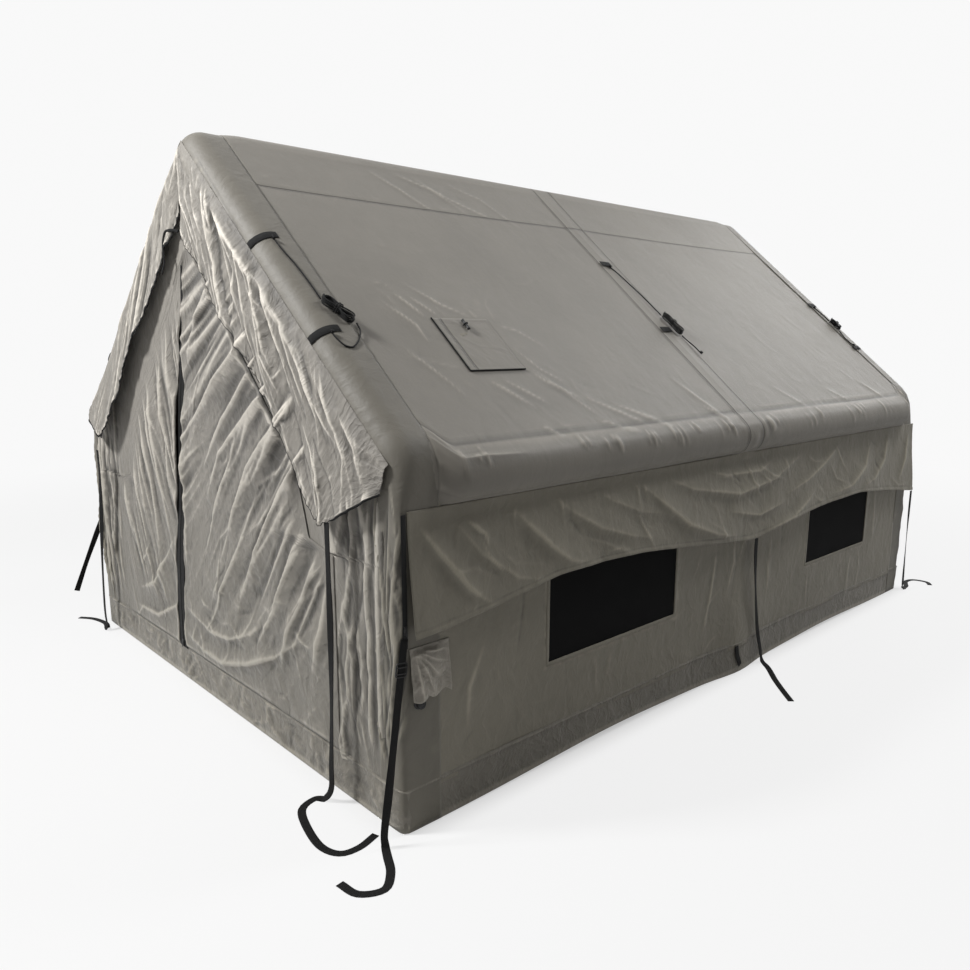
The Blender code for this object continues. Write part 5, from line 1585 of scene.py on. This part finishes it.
FLAP_LOW_Y = (-2.016, -1.68, -1.36, -0.88, -0.40, 0.06, 0.49, 0.85, 1.21, 1.65, 2.045)
FLAP_LOW_Z = (0.700, 0.735, 0.790, 0.786, 0.735, 0.681, 0.744, 0.765, 0.775, 0.730, 0.679)
FLAP_TOP_Z = 1.115
FLAP_X = 1.4407


DRAPES = (
    ([(-2.00, 1.10), (-1.906, 0.971), (-1.785, 0.825), (-1.66, 0.729)], 0.030, 0.9),
    ([(-1.86, 1.10), (-1.72, 0.93), (-1.56, 0.82), (-1.36, 0.77)], 0.040, 0.7),
    ([(-1.60, 1.10), (-1.481, 0.987), (-1.387, 0.904), (-1.287, 0.831), (-1.10, 0.79)], 0.040, 1.0),
    ([(-1.40, 1.107), (-1.253, 1.006), (-1.105, 0.927), (-0.899, 0.86), (-0.70, 0.82)], 0.045, 1.1),
    ([(-1.16, 1.10), (-1.02, 1.02), (-0.84, 0.95), (-0.62, 0.91)], 0.030, 0.6),
    ([(-0.90, 1.105), (-0.687, 0.960), (-0.52, 0.851), (-0.282, 0.766), (-0.059, 0.72)], 0.045, 1.4),
    ([(-0.76, 1.11), (-0.479, 1.000), (-0.089, 0.930), (0.241, 0.965), (0.60, 1.078)], 0.045, 1.3),
    ([(-0.50, 1.10), (-0.20, 1.03), (0.10, 1.02), (0.34, 1.09)], 0.030, 0.7),
    ([(0.70, 0.86), (0.607, 0.820), (0.427, 0.754), (0.142, 0.714)], 0.035, 1.1),
    ([(1.02, 1.091), (0.80, 0.994), (0.60, 0.92), (0.35, 0.86)], 0.035, 1.0),
    ([(1.42, 1.06), (1.30, 0.92), (1.10, 0.83), (0.85, 0.80)], 0.038, 1.1),
    ([(1.66, 1.10), (1.58, 0.93), (1.428, 0.83), (1.25, 0.80)], 0.035, 1.0),
    ([(1.98, 1.08), (1.90, 0.90), (1.80, 0.76)], 0.030, 0.8),
    ([(-1.792, 1.066), (-1.705, 0.997), (-1.688, 0.944)], 0.016, 0.6),
    ([(-0.20, 0.86), (0.10, 0.80), (0.38, 0.84)], 0.030, 0.8),
)


def make_side_flaps(sizes):
    """Side flaps: sewn under the eave roll, hanging in long drapes and loose folds to a hemmed, scalloped edge."""
    for side, name, seed, columns, rows in ((1, "right", 601, 470, 84), (-1, "left", 641, 320, 56)):
        y = np.linspace(-2.016, 2.045, columns)
        drop = np.linspace(0, 1, rows)[:, None]
        low = np.interp(y, FLAP_LOW_Y, FLAP_LOW_Z)
        low = running_mean(low, 12)
        z = FLAP_TOP_Z + (low[None, :] - FLAP_TOP_Z) * drop
        v, u = np.broadcast_arrays(drop, y[None, :])
        drapes = [(route, width, sizes.swag * 1.15 * share) for route, width, share in DRAPES]
        h = folds(u, z, drapes, 1.2, 1.7)
        h += 0.35 * sizes.swag * ripple(u, v * 0.45, 0.20, seed) * drop ** 0.5
        h += strokes(u, z, 70, seed + 1, (-1.95, 0.72, 1.95, 1.08), (2.45, 0.35), (0.10, 0.36), 0.010, 0.0060, 1.2, 1.4)
        h += strokes(u, z, 40, seed + 2, (-1.95, 1.02, 1.95, 1.115), (1.9, 0.3), (0.05, 0.14), 0.007, 0.0040, 1.2)
        h += 0.0008 * crumple(u, v * 0.38, 0.07, seed + 3)
        h -= 0.0015 * hump(drop, 0.945, 0.008)
        h += 0.0012 * ramp(drop, 0.955, 0.965) + 0.0016 * ripple(u, v, 0.05, seed + 4) * ramp(drop, 0.9, 1)
        h = h * ramp(drop, 0.0, 0.05) * (0.02 + 0.98 * ramp(drop, 0.04, 0.24))
        x = FLAP_X + 0.040 * drop ** 1.5 + np.maximum(h, -0.006 - 0.03 * drop)
        flap = surface(f"{name}_side_flap", placed(side * x, u, z)[::-1], relief=(h[::-1], 0.010), reach=9,
                       turned=side < 0)
        finish(flap, "flap", body=f"overhang_{name}", thick=SHEET, node=f"side_flap_{name}")


# Straps, tabs and fittings

RIGHT_Y = -2.1168
LEFT_Y = -2.1238
FLAT = 0.0013
STRAP_HALF_T = 0.0011


def tape_ring(half, thick, count):
    """Outline of a flat strap: evenly spaced points along both faces, and blunt edges."""
    across = np.linspace(-half, half, count)
    across[[0, -1]] += (0.001, -0.001)
    ring = [(-half, 0)] + [(x, -thick) for x in across] + [(half, 0)] + [(x, thick) for x in across[::-1]]
    return ring[::-1]


def make_straps(sizes):
    """Webbing straps: a flat band along each route, turning from the way it hangs to flat on the ground."""
    out, front, up = (1, 0, 0), (0, -1, 0), (0, 0, 1)
    corner, middle, rear, left = WALL_X + 0.0037, WALL_X + 0.0398, WALL_X + 0.0443, -WALL_X - 0.0477
    straps = {
        "front_right_strap": [
            (1.131, RIGHT_Y, 1.0444, front), (1.131, RIGHT_Y, 0.86, front), (1.131, RIGHT_Y, 0.700, (0.25, -1, 0)),
            (1.126, RIGHT_Y, 0.52, front), (1.118, RIGHT_Y, 0.350, (-0.2, -1, 0)), (1.104, RIGHT_Y, 0.16, front),
            (1.092, -2.114, 0.055, (0.2, -1, 0.5)), (1.060, -2.126, 0.006, (0.3, -0.4, 1)),
            (1.032, -2.150, FLAT, up), (1.060, -2.215, FLAT, up), (1.156, -2.255, FLAT, up),
            (1.290, -2.280, FLAT, up), (1.368, -2.255, FLAT, up), (1.384, -2.190, FLAT, up),
            (1.362, -2.110, FLAT, up)],
        "front_left_strap": [
            (-1.130, LEFT_Y, 1.0444, front), (-1.130, LEFT_Y, 0.900, front), (-1.170, LEFT_Y, 0.650, (0.4, -1, 0)),
            (-1.219, LEFT_Y, 0.420, front), (-1.252, LEFT_Y, 0.14, front), (-1.262, -2.116, 0.030, (0, -1, 0.6)),
            (-1.310, -2.104, FLAT + 0.001, up), (-1.400, -2.085, FLAT, up), (-1.520, -2.110, FLAT, up),
            (-1.600, -2.165, FLAT, up)],
        "corner_strap": [
            (corner, -2.0345, 0.7000, out), (corner, -2.0520, 0.580, out), (corner, -2.0720, 0.440, out),
            (corner, -2.0920, 0.3015, out), (corner, -2.112, 0.165, (1, -0.3, 0)),
            (corner, -2.1290, 0.055, (1, 0, 0.3)), (1.448, -2.131, 0.010, (0.6, 0, 1)),
            (1.490, -2.152, FLAT, up), (1.560, -2.190, FLAT, up),
            (1.612, -2.250, FLAT, up), (1.575, -2.320, FLAT, up), (1.495, -2.335, FLAT, up)],
        "middle_strap": [
            (middle, 0.080, 0.6848, out), (middle, 0.082, 0.600, out), (middle, 0.105, 0.420, (1, 0.3, 0)),
            (middle, 0.150, 0.200, out), (middle, 0.196, 0.075, (1, 0, 0.3)), (1.482, 0.211, 0.014, (0.7, 0, 1)),
            (1.515, 0.192, FLAT, up), (1.560, 0.150, FLAT, up), (1.640, 0.060, FLAT, up),
            (1.730, -0.030, FLAT, up), (1.815, -0.110, FLAT, up)],
        "rear_strap": [
            (rear, 2.020, 0.6796, out), (rear, 2.022, 0.540, out), (rear, 2.030, 0.340, (1, 0.3, 0)),
            (rear, 2.045, 0.100, out), (1.483, 2.052, 0.020, (1, 0, 0.6)), (1.480, 2.085, FLAT, up),
            (1.470, 2.150, FLAT, up), (1.430, 2.250, FLAT, up), (1.450, 2.330, FLAT, up),
            (1.530, 2.345, FLAT, up), (1.575, 2.290, FLAT, up)],
        "left_corner_strap": [
            (left, -2.000, 0.6994, out), (left, -2.002, 0.650, out), (left, -2.060, 0.520, out),
            (left, -2.130, 0.360, (1, 0.4, 0)), (left, -2.195, 0.200, out)],
        "middle_strap_tail": [
            (WALL_X + 0.0345, -0.030, 0.150, out), (WALL_X + 0.0352, -0.020, 0.100, out),
            (WALL_X + 0.0352, 0.012, 0.040, out)],
    }
    ring = tape_ring(sizes.strap / 2, STRAP_HALF_T, 5)
    for name, keys in straps.items():
        line = smooth_route([key[:3] + key[3] for key in keys], 0.016)
        path = line[:, :3].copy()
        path[:, 2] = np.maximum(path[:, 2], STRAP_HALF_T + 0.0001)
        strap = sweep(name + "_band", path, ring, up=line[:, 3:])
        finish(strap, "webbing", node=name)


def make_tabs():
    """Webbing tabs: bent over the front arch with a raised stitched end, and flat on the roof over the other two."""
    ring = tape_ring(0.0175, 0.001, 3)
    for side, name in ((1, "right"), (-1, "left")):
        for place, s in zip(("upper", "lower"), FRONT_TABS[name]):
            angle = np.radians(np.linspace(20, 96, 30))
            high = SKIN_R + 0.0022 + 0.0016 * hump(np.linspace(0, 1, 30), 0.12, 0.05)
            y = -ARCH_Y - high * np.cos(angle)
            line = on_roof(s, y, high * np.sin(angle), side)
            out = on_roof(0, -np.cos(angle), np.sin(angle), side) - on_roof(0, 0, 0, side)
            tab = sweep(f"{name}_{place}_arch_tab", line, ring, up=out)
            finish(tab, "webbing", node=f"front_{name}_{place}_tab")
    for arch, spots, span in ROOF_TABS:
        for place, s in zip(("upper", "lower"), spots):
            y = np.linspace(*span, 24)
            line = on_roof(s, y, SKIN_R + 0.0045 + 0.0012 * ripple(y, 0, 0.02, 5))
            tab = sweep(f"{arch}_{place}_roof_tab", line, ring, up=on_roof(0, 0, 1) - on_roof(0, 0, 0))
            finish(tab, "webbing", node=f"{arch}_{place}_tab")


JACK_S = (1.1355, 1.4350)
JACK_Y = (-1.510, -1.225)
TOGGLE_Y = -1.370


def make_stove_opening():
    """Stove opening: a collar under a square flap that is edged with black piping, and the toggle on it."""
    centre = ((JACK_S[0] + JACK_S[1]) / 2, (JACK_Y[0] + JACK_Y[1]) / 2)
    angle = np.linspace(0, 2 * np.pi, 160, endpoint=False)
    half_s, half_y = (JACK_S[1] - JACK_S[0]) / 2 - 0.002, (JACK_Y[1] - JACK_Y[0]) / 2 - 0.002
    reach = 1 / np.maximum(np.abs(np.cos(angle)) / half_s, np.abs(np.sin(angle)) / half_y)
    share = np.linspace(0, 1, 10)[:, None]
    radius = 0.055 + (reach[None, :] - 0.055) * share
    s, y = centre[0] + radius * np.cos(angle), centre[1] + radius * np.sin(angle)
    collar = on_roof(s, y, SKIN_R - 0.0006 + 0.0012 * hump(share + 0 * s, 0.1, 0.1))
    finish(surface("stove_collar", collar, closed=True), "flap", thick=SHEET,
           node="stove_jack_collar")
    v, u = np.meshgrid(np.linspace(*JACK_S[::-1], 72), np.linspace(*JACK_Y, 72), indexing="ij")
    h = 0.0014 * ripple(u, v, 0.09, 701) + 0.0004 * crumple(u, v, 0.05, 702)
    h += strokes(u, v, 16, 703, (-1.50, 1.15, -1.23, 1.42), (0.9, 0.5), (0.06, 0.2), 0.008, 0.0022)
    rim = np.minimum(np.minimum(v - JACK_S[0], JACK_S[1] - v), np.minimum(u - JACK_Y[0], JACK_Y[1] - u))
    h = h * ramp(rim, 0, 0.03) + 0.0012 * hump(rim, 0.010, 0.003)
    flap = surface("stove_cover", on_roof(v, u, SKIN_R + 0.0026 + np.maximum(h, -0.0018)))
    finish(flap, "roof", body="jack_cover", thick=SHEET, node="stove_flap")
    edge = [(JACK_S[0], JACK_Y[0]), (JACK_S[1], JACK_Y[0]), (JACK_S[1], JACK_Y[1])]
    line = resampled(np.column_stack([edge, np.full(3, SKIN_R + 0.0034)]), 120)
    line = on_roof(*line.T)
    finish(sweep("stove_cover_piping", line, circle(0.0030, 8)), "webbing", body="jack_cover")
    t = np.linspace(0, 1, 40)
    near = JACK_S[0] + 0.018
    place = on_roof(near + 0.055 * t, TOGGLE_Y, SKIN_R + 0.0115)
    size = 0.0072 * (0.72 + 0.28 * np.cos(2 * np.pi * t) ** 2) * rounded_ends(t, 0.04, 4)
    toggle = sweep("toggle", place, rings(circle(1.0, 18), size, size))
    finish(toggle, "plastic", body="jack_cover", node="flap_toggle")
    loop = on_roof(near + 0.0275, TOGGLE_Y + 0.0095 * np.cos(np.pi * t), SKIN_R + 0.0050 + 0.0160 * np.sin(np.pi * t))
    finish(sweep("toggle_loop", loop, circle(0.0022, 10)), "cord", body="jack_cover")


def make_side_zip():
    """Corner zip with its slider, on the rounded edge of the near leg."""
    z = np.linspace(0.665, 1.107, 120)
    line = placed(WALL_X + 0.0022, -2.0300 + 0.0008 * ripple(z, 0, 0.08, 711), z)
    finish(strip_ring("corner_zip", line, (1, 0, 0), 0.018, 0.0022), "zip", node="side_zip")
    slider_piece("corner_zip_slider", (WALL_X + 0.0024, -2.030, 0.715), 0.014, 0.029, (1, 0, 0),
                 "corner_slider", "side_zip_slider")


def lathe(name, profile, centre, out, count=64, ribs=0, depth=0.0):
    """A turned piece: radius and height pairs carried round an axis, with shallow ribs where they are asked for."""
    profile = np.asarray(profile, float)
    angle = np.linspace(0, 2 * np.pi, count, endpoint=False)
    out = np.asarray(out, float)
    side = np.cross(out, (0, 0, 1))
    up = np.cross(side, out)
    radius = profile[:, :1] * np.ones((1, count))
    if ribs:
        wide = (profile[:, :1] > profile[:, 0].max() * 0.93)
        radius = radius - depth * wide * (0.5 + 0.5 * np.cos(ribs * angle))[None, :]
    points = (np.asarray(centre) + profile[:, 1][:, None, None] * out
              + radius[..., None] * (np.cos(angle)[None, :, None] * side + np.sin(angle)[None, :, None] * up))
    obj = surface(name, points, closed=True)
    weld(obj)
    return obj


def make_valve():
    """Inflation valve: a flanged base, a ribbed screw cap and the crumpled cloth flap over it."""
    face = WALL_X + GAP
    at = (face, -1.978, 0.463)
    base = [(0, 0.0), (0.0205, 0.0), (0.021, 0.0008), (0.021, 0.003), (0.0195, 0.0042), (0.0178, 0.0045),
            (0.0175, 0.0059), (0, 0.006)]
    finish(lathe("valve_base", base, at, (1, 0, 0)), "plastic", node="inflation_valve")
    cap = [(0, 0.0064), (0.0165, 0.0064), (0.017, 0.0072), (0.017, 0.0175), (0.0160, 0.0195), (0.0135, 0.0202),
           (0.0128, 0.0186), (0.006, 0.0182), (0.0052, 0.0200), (0, 0.0203)]
    finish(lathe("valve_screw_cap", cap, at, (1, 0, 0), 96, 16, 0.0009), "plastic", body="valve_lid",
           node="valve_cap")
    y0, y1, z0, z1 = -2.014, -1.850, 0.492, 0.660
    even = np.linspace(0, 1, 60)
    v, u = np.meshgrid(even, even, indexing="ij")
    y = y0 + (y1 - y0) * u + 0.010 * (1 - v) * np.sin(3 * np.pi * u) * (u - 0.2)
    z = z0 + (z1 - z0) * v - 0.016 * (1 - v) * np.abs(np.sin(2.2 * np.pi * u + 0.6))
    rays = [([(0.10, 0.95), (math.cos(a), 0.95 + math.sin(a))], 0.045, 0.012)
            for a in (-1.35, -1.0, -0.7, -0.42, -0.15)]
    h = 0.0030 * crumple(u * 0.16, v * 0.16, 0.05, 721) + folds(u, v, rays, 1.1, 1.4)
    h += 0.026 * (1 - v) ** 1.3 * (0.7 + 0.4 * np.sin(6 * u))
    h = np.maximum(h * ramp(1 - v, 0, 0.15), 0.0002) + 0.0018
    flap = surface("valve_cover_flap", placed(face + h, y, z), relief=(h, 0.010))
    finish(flap, "pale", body="valve_cover", thick=SHEET, node="valve_flap")


def make_buckle():
    """Ladder buckle: a rounded frame with two cross bars that the corner strap threads through."""
    lean, fall = 0.0575, 0.3985
    tilt = math.atan2(lean, fall)
    centre = np.array([WALL_X + 0.0037, -2.0345 - lean * (0.7 - 0.6) / fall, 0.600])
    down = np.array([0, -math.sin(tilt), -math.cos(tilt)])
    side = np.array([0, math.cos(tilt), -math.sin(tilt)])
    angle = np.linspace(0, 2 * np.pi, 72, endpoint=False)
    swell = (np.abs(np.cos(angle)) ** 6 + np.abs(np.sin(angle)) ** 6) ** (-1 / 6)
    loop = centre + (0.0205 * swell * np.cos(angle))[:, None] * side + (0.0235 * swell * np.sin(angle))[:, None] * down
    ring = np.array([(0.0022, 0), (0.0018, 0.0022), (0, 0.0029), (-0.0018, 0.0022), (-0.0022, 0), (-0.0018, -0.0022),
                     (0, -0.0029), (0.0018, -0.0022)])
    frame_piece = sweep("buckle_frame", loop, ring, up=(1, 0, 0), loop=True)
    finish(frame_piece, "plastic", body="buckle", node="strap_buckle")
    for name, at, out in (("upper", -0.010, 0.0042), ("lower", 0.012, 0.0044)):
        t = np.linspace(-0.0195, 0.0195, 24)[:, None]
        bar = centre + down * at + np.array([1, 0, 0]) * out + side * t
        finish(sweep(f"buckle_{name}_bar", bar, circle(0.0021, 12)), "plastic", body="buckle")


class TENT_OT_stage(bpy.types.Operator):
    """Adds the camera, the ground, the world and the lamps"""
    bl_idname = "tent.stage"
    bl_label = "Stage"

    def execute(self, context):
        make_stage(context.scene.tent_colours)
        return {"FINISHED"}


class TENT_OT_looks(bpy.types.Operator):
    """Makes the materials"""
    bl_idname = "tent.looks"
    bl_label = "Materials"

    def execute(self, context):
        make_looks(context.scene.tent_colours)
        return {"FINISHED"}


class TENT_OT_cords(bpy.types.Operator):
    """Adds the stowed guy cords"""
    bl_idname = "tent.cords"
    bl_label = "Guy cords"

    def execute(self, context):
        make_cords(context.scene.tent_sizes)
        make_knots()
        return {"FINISHED"}


class TENT_OT_straps(bpy.types.Operator):
    """Adds the webbing straps"""
    bl_idname = "tent.straps"
    bl_label = "Straps"

    def execute(self, context):
        make_straps(context.scene.tent_sizes)
        return {"FINISHED"}


class TENT_OT_tubes(bpy.types.Operator):
    """Adds the inflated tubes"""
    bl_idname = "tent.tubes"
    bl_label = "Air tubes"

    def execute(self, context):
        make_tubes()
        return {"FINISHED"}


class TENT_OT_roof(bpy.types.Operator):
    """Adds the roof skin"""
    bl_idname = "tent.roof"
    bl_label = "Roof skin"

    def execute(self, context):
        make_roof(context.scene.tent_sizes)
        return {"FINISHED"}


class TENT_OT_sleeves(bpy.types.Operator):
    """Adds the cloth over both end arches"""
    bl_idname = "tent.sleeves"
    bl_label = "End sleeves"

    def execute(self, context):
        make_sleeves()
        return {"FINISHED"}


class TENT_OT_walls(bpy.types.Operator):
    """Adds both side walls and their window nets"""
    bl_idname = "tent.walls"
    bl_label = "Side walls"

    def execute(self, context):
        make_walls()
        return {"FINISHED"}


class TENT_OT_tub(bpy.types.Operator):
    """Adds the floor band and sheet"""
    bl_idname = "tent.tub"
    bl_label = "Tub floor"

    def execute(self, context):
        make_floor()
        return {"FINISHED"}


class TENT_OT_gables(bpy.types.Operator):
    """Adds the front and rear end walls"""
    bl_idname = "tent.gables"
    bl_label = "End walls"

    def execute(self, context):
        make_gables()
        return {"FINISHED"}


class TENT_OT_door(bpy.types.Operator):
    """Adds both door leaves and the zip between them"""
    bl_idname = "tent.door"
    bl_label = "Door"

    def execute(self, context):
        make_door()
        return {"FINISHED"}


class TENT_OT_storm_flaps(bpy.types.Operator):
    """Adds the flaps along the front rakes"""
    bl_idname = "tent.storm_flaps"
    bl_label = "Storm flaps"

    def execute(self, context):
        make_gable_flaps()
        return {"FINISHED"}


class TENT_OT_side_flaps(bpy.types.Operator):
    """Adds the long flaps under the eave rolls"""
    bl_idname = "tent.side_flaps"
    bl_label = "Side flaps"

    def execute(self, context):
        make_side_flaps(context.scene.tent_sizes)
        return {"FINISHED"}


class TENT_OT_tabs(bpy.types.Operator):
    """Adds the webbing tabs over the arches"""
    bl_idname = "tent.tabs"
    bl_label = "Tabs"

    def execute(self, context):
        make_tabs()
        return {"FINISHED"}


class TENT_OT_stove(bpy.types.Operator):
    """Adds the stove collar, its cover and toggle"""
    bl_idname = "tent.stove"
    bl_label = "Stove opening"

    def execute(self, context):
        make_stove_opening()
        return {"FINISHED"}


class TENT_OT_corner_zip(bpy.types.Operator):
    """Adds the zip at the near corner"""
    bl_idname = "tent.corner_zip"
    bl_label = "Corner zip"

    def execute(self, context):
        make_side_zip()
        return {"FINISHED"}


class TENT_OT_valve(bpy.types.Operator):
    """Adds the inflation valve, its cap and its flap"""
    bl_idname = "tent.valve"
    bl_label = "Valve"

    def execute(self, context):
        make_valve()
        return {"FINISHED"}


class TENT_OT_buckle(bpy.types.Operator):
    """Adds the ladder buckle on the corner strap"""
    bl_idname = "tent.buckle"
    bl_label = "Buckle"

    def execute(self, context):
        make_buckle()
        return {"FINISHED"}


STEPS = (TENT_OT_stage, TENT_OT_looks, TENT_OT_cords, TENT_OT_straps, TENT_OT_tubes, TENT_OT_roof,
         TENT_OT_sleeves, TENT_OT_walls, TENT_OT_tub, TENT_OT_gables, TENT_OT_door, TENT_OT_storm_flaps,
         TENT_OT_side_flaps, TENT_OT_tabs, TENT_OT_stove, TENT_OT_corner_zip, TENT_OT_valve, TENT_OT_buckle)


class TENT_PT_panel(bpy.types.Panel):
    """Sidebar panel with the tent's pieces, sizes and colours"""
    bl_idname = "TENT_PT_panel"
    bl_label = "Tent"
    bl_space_type = "VIEW_3D"
    bl_region_type = "UI"
    bl_category = "Tent"

    def draw(self, context):
        column = self.layout.column()
        for group in (context.scene.tent_sizes, context.scene.tent_colours):
            for name in group.__annotations__:
                column.prop(group, name)
        for step in STEPS:
            column.operator(step.bl_idname)


CLASSES = (TentColours, TentSizes) + STEPS + (TENT_PT_panel,)


def register():
    """Registers the classes and gives the scene its colours and sizes."""
    for made in CLASSES:
        bpy.utils.register_class(made)
    bpy.types.Scene.tent_colours = bpy.props.PointerProperty(type=TentColours)
    bpy.types.Scene.tent_sizes = bpy.props.PointerProperty(type=TentSizes)


def unregister():
    """Takes away what register added."""
    del bpy.types.Scene.tent_sizes
    del bpy.types.Scene.tent_colours
    for made in reversed(CLASSES):
        bpy.utils.unregister_class(made)


def main():
    """Makes the whole tent, one operator after another."""
    register()
    for step in STEPS:
        getattr(bpy.ops.tent, step.bl_idname.split(".")[1])()


if __name__ == "__main__":
    main()
